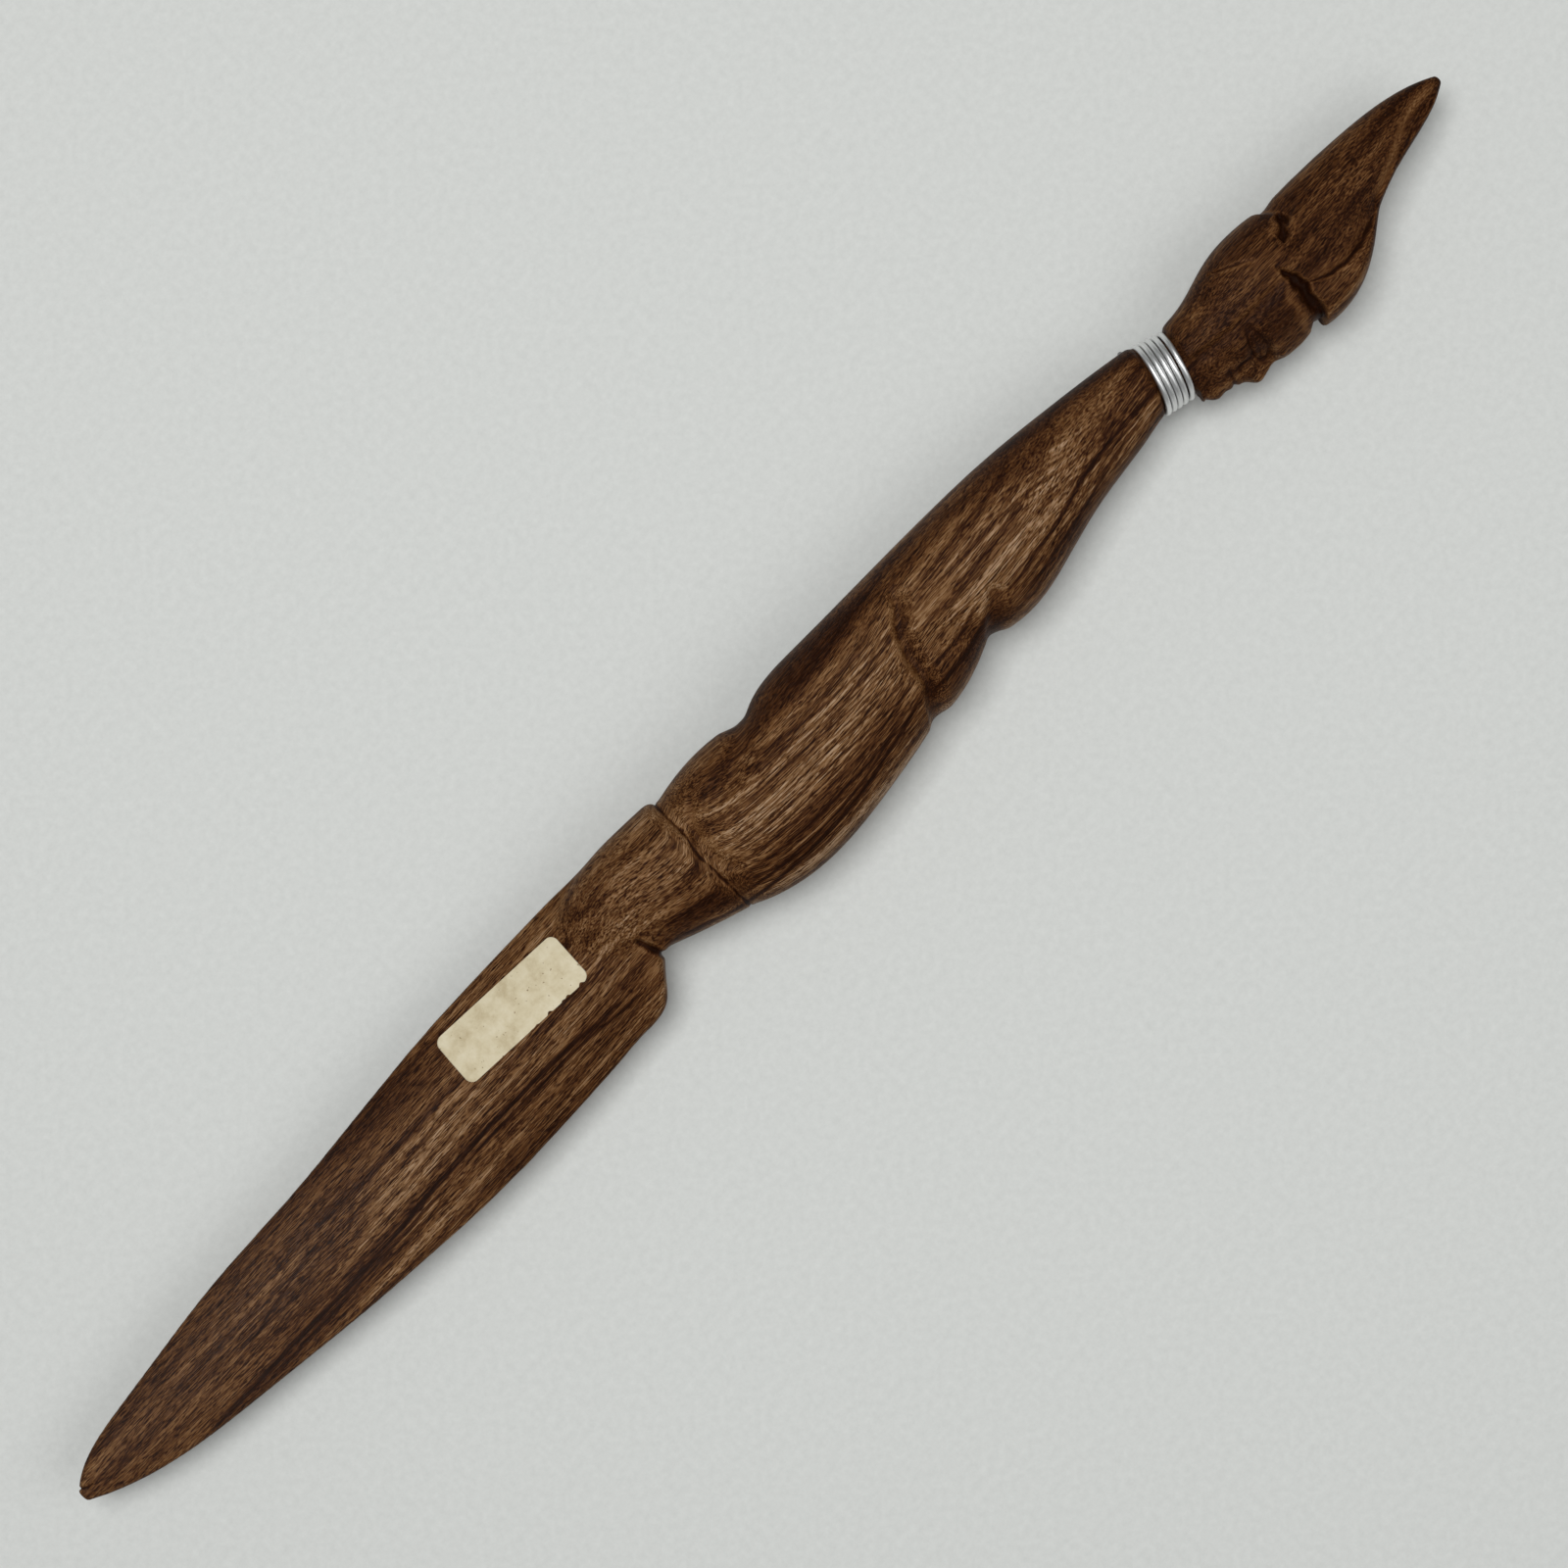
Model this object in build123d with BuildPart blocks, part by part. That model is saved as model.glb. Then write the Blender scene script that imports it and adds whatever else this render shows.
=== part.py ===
from build123d import *
import math
import os

os.makedirs("parts", exist_ok=True)

# Stretches along the opener, from the blade's tip to the crown, in mm
BLADE_LENGTH = 111.5
SHIN_LENGTH = 13.8
THIGH_LENGTH = 35.5
BELLY_LENGTH = 14.0
CHEST_LENGTH = 39.6
NECK_LENGTH = 6.8
FACE_LENGTH = 17.2
HEADDRESS_LENGTH = 36.6

# Blade: a leaf with lens-shaped sections, its heel cut round at the front
BLADE_BACK = 10.5
BLADE_FRONT = 12.9
BLADE_THICKNESS = 8.4
BLADE_EDGE = 1.0
TIP_WIDTH = 1.7
TIP_THICKNESS = 1.5
HEEL_LENGTH = 13.5
HEEL_HEIGHT = 6.9
HEEL_BULGE = 1.8

# Carved figure: how square its sections are, and each swelling's greatest reaches and depth
BODY_DEPTH = 17.0
SQUARENESS = 2.35
RIB_SIDES = 36
REST_CUT = 0.25
SHIN_BACK = 10.4
SHIN_FRONT = 10.75
SHIN_DEPTH = 15.2
BUTTOCK_BACK = 9.95
BUTTOCK_FRONT = 3.0
BUTTOCK_DEPTH = 14.4
THIGH_BACK = 7.6
THIGH_FRONT = 14.0
BELLY_BACK = 2.4
BELLY_FRONT = 11.5
BELLY_DEPTH = 15.6
CHEST_BACK = 10.2
CHEST_FRONT = 10.3
HEM_BACK = 9.4
HEM_FRONT = 10.3
HEM_DEPTH = 14.4
HEM_GROOVE = 0.8

# Neck groove, which leans towards the face, and the wire wound into it
NECK_LEAN = 16.0
NECK_ASIDE = 0.5
NECK_RADIUS = 4.75
NECK_TAPER = 3.0
NECK_TUCK = 2.5
SHOULDER_BACK = 5.1
SHOULDER_FRONT = 5.7
SHOULDER_DEPTH = 10.8
WIRE_DIAMETER = 0.7
WIRE_SIDES = 8
WIRE_TURN_GAP = 0.42
WIRE_TURNS = 5
WIRE_CLEARANCE = 0.06
WIRE_STEPS_PER_QUARTER = 12

# Head: a plain face in three equal thirds under a swept-back headdress
SKULL_BACK = 6.3
SKULL_FRONT = 11.2
SKULL_DEPTH = 13.8
HEADDRESS_BACK = 5.3
HEADDRESS_FRONT = 12.3
HEADDRESS_DEPTH = 12.8
HAIR_ROLL_INSET = 7.4
HAIR_ROLL_FRONT = 12.95
HAIR_ROLL_DEPTH = 10.0
FACE_LEAN = 8.0
JAW_BACK = 5.6
JAW_FRONT = 6.9
JAW_DEPTH = 10.0
CHIN_REACH = 6.3
CHIN_RADIUS = 1.9
CHIN_WIDTH = 6.4
LIP_REACH = 7.3
LIP_RADIUS = 0.85
LIP_WIDTH = 5.6
NOSE_ROOT = 6.4
NOSE_BRIDGE = 8.2
NOSE_TIP = 10.0
NOSE_WIDTH = 3.6
BROW_REACH = 7.5
BROW_RADIUS = 1.4
BROW_WIDTH = 9.6
EYE_REACH = 7.0
EYE_RADIUS = 0.9
EYE_WIDTH = 3.2
EYE_SPACING = 6.0
CHIN_THIRD = 0.30
LOWER_LIP_THIRD = 0.62
UPPER_LIP_THIRD = 0.86
NOSE_BASE_THIRD = 1.08
EYE_THIRD = 1.80
BROW_THIRD = 2.06

# Paper label glued along the blade
LABEL_LENGTH = 22.0
LABEL_WIDTH = 7.8
LABEL_CORNER = 1.1
LABEL_THICKNESS = 0.14
LABEL_TILT = -3.7
LABEL_FROM_STEP = 20.3
LABEL_ASIDE = 3.7
GLUE_LINE = 0.03

# Places along the opener, and where its long axis lies
STEP = BLADE_LENGTH
HEM = STEP + SHIN_LENGTH
WAIST = HEM + THIGH_LENGTH
BREAST = WAIST + BELLY_LENGTH
NECK = BREAST + CHEST_LENGTH
JAW = NECK + NECK_LENGTH
HAIRLINE = JAW + FACE_LENGTH
CROWN = HAIRLINE + HEADDRESS_LENGTH
AXIS_Y = (THIGH_FRONT - BLADE_BACK) / 2
MID_HEIGHT = BODY_DEPTH / 2 - REST_CUT
JAW_ASIDE = NECK_ASIDE - NECK_LENGTH * math.tan(math.radians(NECK_LEAN))
GROOVE_LENGTH = NECK_LENGTH / math.cos(math.radians(NECK_LEAN))
NECK_SLOPE = math.tan(math.radians(NECK_TAPER))
FACE_UP = (math.cos(math.radians(FACE_LEAN)), -math.sin(math.radians(FACE_LEAN)), 0)
FACE_BACK = (math.sin(math.radians(FACE_LEAN)), math.cos(math.radians(FACE_LEAN)), 0)
WIRE_PITCH = WIRE_DIAMETER + WIRE_TURN_GAP
WIRE_QUARTERS = 4 * WIRE_TURNS + 1
WIRE_START = (GROOVE_LENGTH - WIRE_PITCH * WIRE_QUARTERS / 4) / 2

# Ribs of the blade: place, back edge, front edge and thickness, as shares of the blade's own sizes
BLADE_RIBS = (
    (0.025, 0.26, 0.18, 0.24),
    (0.10, 0.46, 0.42, 0.34),
    (0.20, 0.59, 0.59, 0.43),
    (0.34, 0.73, 0.75, 0.54),
    (0.50, 0.80, 0.90, 0.66),
    (0.66, 0.94, 0.99, 0.78),
    (0.82, 1.00, 0.97, 0.89),
    (0.93, 1.00, 0.94, 0.96),
    (1.01, 0.99, 0.91, 1.00),
    (1.08, 0.90, 0.84, 1.00),
)

# Ribs of each swelling: place as a share of its stretch, then back, front and depth as shares of its reaches
SHIN_RIBS = (
    (-0.85, 0.54, 0.11, 0.29),
    (-0.35, 0.88, 0.33, 0.63),
    (0.10, 1.00, 0.58, 0.82),
    (0.60, 1.00, 0.83, 0.93),
    (1.00, 0.97, 1.00, 1.00),
)
BUTTOCK_RIBS = (
    (-0.06, 0.84, 0.67, 0.69),
    (0.04, 0.93, 1.00, 0.90),
    (0.28, 1.00, 1.00, 1.00),
    (0.46, 0.89, 1.00, 0.90),
    (0.66, 0.56, 0.67, 0.56),
)
THIGH_RIBS = (
    (-0.10, 0.74, 0.63, 0.71),
    (0.03, 0.92, 0.81, 0.88),
    (0.27, 1.00, 0.985, 1.00),
    (0.48, 0.89, 1.00, 1.00),
    (0.72, 0.60, 0.935, 0.95),
    (1.00, 0.18, 0.815, 0.78),
    (1.20, -0.26, 0.63, 0.49),
)
BELLY_RIBS = (
    (-0.60, 0.00, 0.75, 0.64),
    (0.16, 0.92, 1.00, 1.00),
    (0.50, 1.00, 0.955, 1.00),
    (0.88, 0.58, 0.80, 0.86),
    (1.25, 0.00, 0.575, 0.54),
)
CHEST_RIBS = (
    (-0.89, 0.45, 0.235, 0.53),
    (-0.80, 0.83, 0.525, 0.75),
    (-0.69, 0.98, 0.70, 0.905),
    (-0.50, 1.00, 0.775, 0.965),
    (-0.15, 0.98, 0.74, 0.975),
    (0.16, 0.955, 1.00, 1.00),
    (0.40, 0.91, 0.865, 0.955),
    (0.66, 0.795, 0.64, 0.80),
    (0.86, 0.665, 0.535, 0.68),
)
SKULL_RIBS = (
    (0.20, 0.635, 0.82, 0.79),
    (0.40, 0.715, 0.865, 0.855),
    (0.72, 0.95, 0.955, 0.97),
    (1.00, 1.00, 1.00, 1.00),
    (1.25, 0.92, 0.855, 0.93),
    (1.42, 0.60, 0.50, 0.61),
)
HEADDRESS_RIBS = (
    (0.00, 0.94, 0.965, 1.00),
    (0.09, 1.00, 1.00, 0.985),
    (0.24, 1.00, 0.90, 0.92),
    (0.47, 0.94, 0.545, 0.75),
    (0.62, 0.85, 0.38, 0.625),
    (0.77, 0.70, 0.285, 0.47),
    (0.92, 0.38, 0.163, 0.28),
    (1.00, 0.113, 0.049, 0.094),
)
HAIR_ROLL_RIBS = (
    (0.00, -0.865, 0.965, 0.86),
    (0.10, -0.92, 1.00, 1.00),
    (0.26, -1.00, 0.905, 0.94),
    (0.40, -0.88, 0.665, 0.72),
    (0.51, -0.675, 0.44, 0.40),
)

# Sections of a small carved form: place as a share of its half width, and its share of the full radius
SPINDLE_SECTIONS = ((-1.0, 0.15), (-0.6, 0.8), (0.0, 1.0), (0.6, 0.8), (1.0, 0.15))
SPINDLE_SIDES = 8


def axis_point(along, aside=0.0):
    """A point of the mid-plane, given from the tip and from the long axis towards the back."""
    return (along - CROWN / 2, AXIS_Y + aside, MID_HEIGHT)


def cross_plane(along, lean=0.0, aside=0.0):
    """A plane across the opener, with x to the back and y up, leaning towards the face."""
    turn = math.radians(lean)
    return Plane(
        origin=axis_point(along, aside),
        x_dir=(math.sin(turn), math.cos(turn), 0),
        z_dir=(math.cos(turn), -math.sin(turn), 0),
    )


def rib(plane, back, front, depth):
    """One rounded-square section of the wood, its outline in short flats as a knife leaves it."""
    middle = (back - front) / 2
    half_width = (back + front) / 2
    outline = []
    for step in range(RIB_SIDES):
        turn = math.tau * step / RIB_SIDES
        across = math.copysign(abs(math.cos(turn)) ** (2 / SQUARENESS), math.cos(turn))
        upward = math.copysign(abs(math.sin(turn)) ** (2 / SQUARENESS), math.sin(turn))
        outline.append((middle + half_width * across, depth / 2 * upward))
    with BuildSketch(plane) as section:
        with BuildLine():
            Polyline(*outline, close=True)
        make_face()
    return section.sketch


def swelling(start, length, reaches, rows):
    """The ribs of one swelling, placed along its stretch."""
    sections = []
    for place, *shares in rows:
        sizes = [share * reach for share, reach in zip(shares, reaches)]
        sections.append(rib(cross_plane(start + place * length), *sizes))
    return sections


def lens(along, back, front, thickness, edge):
    """One section of the blade: two shallow arcs that meet at narrow edges."""
    crest = (back - front) / 2
    with BuildSketch(cross_plane(along)) as section:
        with BuildLine():
            top = ThreePointArc((back, edge / 2), (crest, thickness / 2), (-front, edge / 2))
            bottom = ThreePointArc((-front, -edge / 2), (crest, -thickness / 2), (back, -edge / 2))
            Line(top @ 1, bottom @ 0)
            Line(bottom @ 1, top @ 0)
        make_face()
    return section.sketch


def blade_sections(skin=0.0):
    """The blade's sections from the tip on, each thicker by a skin on both faces."""
    edge = BLADE_EDGE + 2 * skin
    sections = [lens(0, TIP_WIDTH / 2, TIP_WIDTH / 2, TIP_THICKNESS + 2 * skin, edge)]
    for place, back, front, thickness in BLADE_RIBS:
        sections.append(
            lens(
                place * BLADE_LENGTH,
                back * BLADE_BACK,
                front * BLADE_FRONT,
                thickness * BLADE_THICKNESS + 2 * skin,
                edge,
            )
        )
    return sections


def face_place(third, reach, height=0.0):
    """A point of the face: thirds up from the chin, and reach forward from the head's axis."""
    up = Vector(FACE_UP) * (third * FACE_LENGTH / 3)
    return Vector(axis_point(JAW, JAW_ASIDE)) + up - Vector(FACE_BACK) * reach + Vector(0, 0, height)


def spindle(third, reach, radius, width, height=0.0):
    """A small form that swells across the face and tapers to both ends, such as a lip."""
    sections = []
    for place, share in SPINDLE_SECTIONS:
        origin = face_place(third, reach, height + place * width / 2)
        with BuildSketch(Plane(origin=origin, x_dir=FACE_BACK, z_dir=(0, 0, 1))) as section:
            RegularPolygon(share * radius, SPINDLE_SIDES)
        sections.append(section.sketch)
    with BuildPart() as form:
        loft(sections=sections, ruled=True)
    return form.part


neck_plane = cross_plane(NECK, NECK_LEAN, NECK_ASIDE)

# Blade, with the waste beside the heel cut away
with BuildPart() as blade:
    loft(sections=blade_sections())
    with BuildSketch(Plane(origin=axis_point(STEP), z_dir=(0, 0, 1))):
        with BuildLine():
            heel = SagittaArc((-HEEL_LENGTH, -BLADE_FRONT), (0, HEEL_HEIGHT - BLADE_FRONT), -HEEL_BULGE)
            Polyline(
                heel @ 1,
                (SHIN_LENGTH, HEEL_HEIGHT - BLADE_FRONT),
                (SHIN_LENGTH, -2 * BLADE_FRONT),
                (-HEEL_LENGTH, -2 * BLADE_FRONT),
                heel @ 0,
            )
        make_face()
    extrude(amount=BODY_DEPTH, both=True, mode=Mode.SUBTRACT)

# Narrow groove round the leg at the hem
with BuildPart() as hem_groove:
    wide = 2 * HEM_GROOVE
    clear = 2 * wide
    rims = [cross_plane(HEM + side * HEM_GROOVE) for side in (-1, 1)]
    outside = [rib(rim, HEM_BACK + clear, HEM_FRONT + clear, HEM_DEPTH + 2 * clear) for rim in rims]
    loft(sections=outside)
    lips = [rib(rim, HEM_BACK + wide, HEM_FRONT + wide, HEM_DEPTH + 2 * wide) for rim in rims]
    floor = rib(cross_plane(HEM), HEM_BACK, HEM_FRONT, HEM_DEPTH)
    loft(sections=[lips[0], floor, lips[1]], ruled=True, mode=Mode.SUBTRACT)

# Features of the face, each set by its third of the face's height
nostrils = (NOSE_BASE_THIRD, NOSE_TIP, NOSE_WIDTH)
bridge = (BROW_THIRD, NOSE_BRIDGE, NOSE_WIDTH / 2)
with BuildPart() as nose:
    for third, tip, width in (nostrils, bridge):
        with BuildSketch(Plane(face_place(third, 0), x_dir=FACE_BACK, z_dir=FACE_UP)):
            with BuildLine():
                Polyline((-tip, 0), (-NOSE_ROOT, width / 2), (-NOSE_ROOT, -width / 2), close=True)
            make_face()
    loft(ruled=True)

features = [
    spindle(CHIN_THIRD, CHIN_REACH, CHIN_RADIUS, CHIN_WIDTH),
    spindle(LOWER_LIP_THIRD, LIP_REACH, LIP_RADIUS, LIP_WIDTH),
    spindle(UPPER_LIP_THIRD, LIP_REACH, LIP_RADIUS, LIP_WIDTH),
    spindle(BROW_THIRD, BROW_REACH, BROW_RADIUS, BROW_WIDTH),
    *[spindle(EYE_THIRD, EYE_REACH, EYE_RADIUS, EYE_WIDTH, side * EYE_SPACING / 2) for side in (-1, 1)],
]

# Whole figure in one piece of wood, with flats where it rests on its side
with BuildPart() as carved_body:
    add(blade.part)
    shin = (SHIN_BACK, SHIN_FRONT, SHIN_DEPTH)
    loft(sections=swelling(STEP, SHIN_LENGTH, shin, SHIN_RIBS))
    buttock = (BUTTOCK_BACK, BUTTOCK_FRONT, BUTTOCK_DEPTH)
    loft(sections=swelling(HEM, THIGH_LENGTH, buttock, BUTTOCK_RIBS))
    thigh = (THIGH_BACK, THIGH_FRONT, BODY_DEPTH)
    loft(sections=swelling(HEM, THIGH_LENGTH, thigh, THIGH_RIBS))
    belly = (BELLY_BACK, BELLY_FRONT, BELLY_DEPTH)
    loft(sections=swelling(WAIST, BELLY_LENGTH, belly, BELLY_RIBS))
    chest = (CHEST_BACK, CHEST_FRONT, BODY_DEPTH)
    shoulder = rib(neck_plane, SHOULDER_BACK, SHOULDER_FRONT, SHOULDER_DEPTH)
    loft(sections=[*swelling(BREAST, CHEST_LENGTH, chest, CHEST_RIBS), shoulder])
    with BuildSketch(neck_plane.offset(-NECK_TUCK)):
        Circle(NECK_RADIUS + NECK_TUCK * NECK_SLOPE)
    extrude(amount=GROOVE_LENGTH + 2 * NECK_TUCK, taper=NECK_TAPER)
    jaw = rib(cross_plane(JAW, NECK_LEAN, JAW_ASIDE), JAW_BACK, JAW_FRONT, JAW_DEPTH)
    skull = (SKULL_BACK, SKULL_FRONT, SKULL_DEPTH)
    loft(sections=[jaw, *swelling(JAW, FACE_LENGTH, skull, SKULL_RIBS)])
    headdress = (HEADDRESS_BACK, HEADDRESS_FRONT, HEADDRESS_DEPTH)
    loft(sections=swelling(HAIRLINE, HEADDRESS_LENGTH, headdress, HEADDRESS_RIBS))
    hair_roll = (HAIR_ROLL_INSET, HAIR_ROLL_FRONT, HAIR_ROLL_DEPTH)
    loft(sections=swelling(HAIRLINE, HEADDRESS_LENGTH, hair_roll, HAIR_ROLL_RIBS))
    add(nose.part)
    add(features)
    add(hem_groove.part, mode=Mode.SUBTRACT)
    split(bisect_by=Plane.XY, keep=Keep.TOP)


def wire_point(quarters):
    """Centre and direction of the wire after some quarter turns from the back, going under first."""
    turn = -quarters * math.tau / 4
    advance = WIRE_START + WIRE_PITCH * quarters / 4
    radius = NECK_RADIUS - advance * NECK_SLOPE + WIRE_CLEARANCE + WIRE_DIAMETER / 2
    rate = WIRE_PITCH / math.tau
    outward = neck_plane.x_dir * math.cos(turn) + neck_plane.y_dir * math.sin(turn)
    forward = neck_plane.x_dir * math.sin(turn) - neck_plane.y_dir * math.cos(turn)
    place = neck_plane.origin + neck_plane.z_dir * advance + outward * radius
    heading = forward * radius + neck_plane.z_dir * rate - outward * (rate * NECK_SLOPE)
    return place, heading.normalized()


def wire_arcs(first, second):
    """Two arcs that join one wire point to the next, smooth at both ends."""
    (start, leave), (end, arrive) = first, second
    chord = end - start
    bend = 2 * (leave.dot(arrive) - 1)
    pull = chord.dot(leave + arrive)
    reach = (pull - math.sqrt(pull**2 - bend * chord.dot(chord))) / bend
    corner_in = start + leave * reach
    corner_out = end - arrive * reach
    joint = (corner_in + corner_out) * 0.5
    TangentArc(start, joint, tangent=leave)
    TangentArc(joint, end, tangent=corner_out - corner_in)


# Wire wound round the neck as one unbroken length, its ends run out straight
with BuildPart() as neck_wire:
    with BuildLine() as winding:
        first_place, first_heading = wire_point(0)
        Line(first_place - first_heading * WIRE_DIAMETER, first_place)
        for quarter in range(WIRE_QUARTERS):
            wire_arcs(wire_point(quarter), wire_point(quarter + 1))
        last_place, last_heading = wire_point(WIRE_QUARTERS)
        Line(last_place, last_place + last_heading * WIRE_DIAMETER)
    with BuildSketch(Plane(first_place - first_heading * WIRE_DIAMETER, z_dir=first_heading)):
        RegularPolygon(WIRE_DIAMETER / 2, WIRE_SIDES)
    sweep(path=winding.wire())

# Least gap between the wire's turns, measured along its centre line
wire_steps = range(WIRE_QUARTERS * WIRE_STEPS_PER_QUARTER + 1)
centres = [wire_point(step / WIRE_STEPS_PER_QUARTER)[0] for step in wire_steps]
half_turn = 2 * WIRE_STEPS_PER_QUARTER
nearest = min(
    (there - here).length
    for index, here in enumerate(centres)
    for there in centres[index + half_turn :]
)
print("wire: least gap to itself", round(nearest - WIRE_DIAMETER, 3), "mm")

# Label, a skin of paper that follows the blade's upper face
label_middle = axis_point(STEP - LABEL_FROM_STEP, LABEL_ASIDE)
label_plane = Plane(label_middle, z_dir=(0, 0, 1)).rotated((0, 0, LABEL_TILT))
with BuildPart() as paper_label:
    loft(sections=blade_sections(GLUE_LINE + LABEL_THICKNESS))
    with BuildSketch(label_plane):
        RectangleRounded(LABEL_LENGTH, LABEL_WIDTH, LABEL_CORNER)
    extrude(amount=BODY_DEPTH, mode=Mode.INTERSECT)
    loft(sections=blade_sections(GLUE_LINE), mode=Mode.SUBTRACT)

carved_body.part.label = "carved_body"
neck_wire.part.label = "neck_wire"
paper_label.part.label = "paper_label"
export_step(carved_body.part, "parts/carved_body.step")
export_step(neck_wire.part, "parts/neck_wire.step")
export_step(paper_label.part, "parts/paper_label.step")
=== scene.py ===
import math

import bmesh
import bpy
import numpy as np
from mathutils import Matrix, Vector
from mathutils.bvhtree import BVHTree


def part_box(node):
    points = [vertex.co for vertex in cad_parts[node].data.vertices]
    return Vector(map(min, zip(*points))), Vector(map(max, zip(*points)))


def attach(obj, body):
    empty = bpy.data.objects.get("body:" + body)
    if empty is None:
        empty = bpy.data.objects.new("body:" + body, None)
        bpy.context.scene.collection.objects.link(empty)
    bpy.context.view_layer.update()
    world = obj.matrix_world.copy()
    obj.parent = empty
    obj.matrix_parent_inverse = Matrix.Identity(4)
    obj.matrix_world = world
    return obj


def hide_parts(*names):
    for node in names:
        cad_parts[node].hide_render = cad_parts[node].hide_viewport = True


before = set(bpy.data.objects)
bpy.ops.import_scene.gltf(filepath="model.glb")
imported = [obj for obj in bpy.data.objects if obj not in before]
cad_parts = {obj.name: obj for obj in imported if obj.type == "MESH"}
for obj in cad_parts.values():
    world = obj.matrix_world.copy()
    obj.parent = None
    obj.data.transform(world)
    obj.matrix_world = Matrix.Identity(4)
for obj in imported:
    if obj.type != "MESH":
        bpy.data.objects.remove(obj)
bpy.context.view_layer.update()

# Places on the figure are millimetres: along from the blade's tip, aside from the carver's
# centre line (the figure's back is plus, its face is minus), and high from the middle layer. The body
# stays the rest gap above the board.
MM = 0.001
LOW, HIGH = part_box("carved_body")
TIP = LOW.x / MM
LENGTH = (HIGH.x - LOW.x) / MM
CENTRE_LINE = 1.75
MIDDLE_LAYER = 8.25
REST_GAP = 0.005

# Where the blade's step, the neck, the jaw and the hairline lie along the stick
STEP = 111.5
NECK = 214.4
JAW = 221.2
HAIRLINE = 238.4

# Fineness of the body's mesh: spacing of its points, reach of a weld, most triangles, and the least
# mark of dirt, painted shade or rubbing that keeps them all
MESH_SIZE = 0.24
WELD = 0.001
MOST_TRIANGLES = 190000
LEAST_MARK = 0.02

# How far the knife's flats are rubbed down; keen places, such as the blade's edge, are rubbed by that
# share less
RUB_STRENGTH = 0.5
RUB_ROUNDS = 40
KEEN_SHARE = 0.92
LAST_RUB_STRENGTH = 0.3
LAST_RUB_ROUNDS = 2

# Winding: wire of about its real thickness on the neck's leaning, tapered core, with its last turn set
# a little apart and its first end, the tail, slipped and lifted; a die line by length and width
NECK_LEAN = math.radians(16.0)
NECK_ASIDE = 0.5
NECK_RADIUS = 4.75
NECK_SLOPE = math.tan(math.radians(3.0))
WIRE = 0.86
WIRE_PITCH = 0.94
WIRE_TURNS = 5.2
WIRE_START = 1.58
LAST_TURN = (3.8, 4.4)
LAST_TURN_GAP = 0.14
TAIL_TURNS = 0.3
TAIL_SLIP = 1.25
TAIL_LIFT = 0.1
WIRE_STEPS = 72
WIRE_SIDES = 14
DIE_LINE = (5.4, 0.068)

# Label: size of the paper, its glue and nibbled edge, fineness of its mesh, and its lie on the blade
LABEL_LENGTH = 22.5
LABEL_WIDTH = 8.0
LABEL_CORNER = 1.2
LABEL_PAPER = 0.1
LABEL_GLUE = 0.02
LABEL_NIBBLE = 0.22
LABEL_ROWS = 40
LABEL_COLUMNS = 110
LABEL_TILT = math.radians(-3.7)
LABEL_MIDDLE = (STEP - 20.3, 3.7)

# Camera: straight above, turned so that the opener lies on the picture's diagonal
CAMERA_TURN = math.radians(-46.2955)
CAMERA_ALONG = 2.6
CAMERA_ASIDE = -0.25
CAMERA_HEIGHT = 450.0
PICTURE_WIDTH = 219.8
SENSOR = 36.0


def linear(colour):
    """An sRGB hex colour as the linear values that the shaders take."""
    shares = [int(colour[place:place + 2], 16) / 255 for place in (1, 3, 5)]
    return [s / 12.92 if s <= 0.04045 else ((s + 0.055) / 1.055) ** 2.4 for s in shares] + [1.0]


def add(tree, kind, inputs=None, out=0, stops=None, curve=None, **settings):
    """Adds one shader node, sets or links its inputs, and returns one of its outputs. Inputs go by
    name or number: a Map Range reads from 1 to 2 and gives 3 to 4, and a Mix goes by 0 from 2 to 3,
    or in colours from 6 to 7."""
    made = tree.nodes.new("ShaderNode" + kind)
    for name, value in settings.items():
        setattr(made, name, value)
    for name, value in (inputs or {}).items():
        if isinstance(value, bpy.types.NodeSocket):
            tree.links.new(value, made.inputs[name])
        else:
            made.inputs[name].default_value = value
    if stops:
        ramp = made.color_ramp
        ramp.elements[0].position = stops[0][0]
        ramp.elements[1].position = stops[-1][0]
        for position, _ in stops[1:-1]:
            ramp.elements.new(position)
        for element, (_, colour) in zip(ramp.elements, stops):
            element.color = linear(colour)
    if curve:
        drawn = made.mapping.curves[0].points
        drawn[0].location = curve[0]
        drawn[1].location = curve[-1]
        for across, up in curve[1:-1]:
            drawn.new(across, up)
        made.mapping.update()
    return made.outputs[out]


def finish_of(name):
    """A new material, its node tree and its one shader."""
    material = bpy.data.materials.new(name)
    material.use_nodes = True
    return material, material.node_tree, material.node_tree.nodes["Principled BSDF"]


def per_mm(length, width, depth):
    """Scale of a pattern whose marks have these sizes in millimetres."""
    return (1 / length, 1 / width, 1 / depth)


# Marks in the wood by length, width and depth. The sway bends the whole grain, and the pores lie
# elsewhere in their pattern than the fibres
SWAY_SIZE = (45.0, 12.0, 12.0)
SWAY_MOST = (0.0, 1.6, 0.9)
BAND_SIZE = (38.0, 1.6, 1.6)
LINE_SIZE = (9.0, 0.14, 0.14)
FIBRE_SIZE = (1.3, 0.13, 0.13)
PORE_SIZE = (1.5, 0.13, 0.13)
PORE_SHIFT = (31.0, 17.0, 5.0)
RING_LENGTH = 80.0
RING_WIDTH = 0.24

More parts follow.
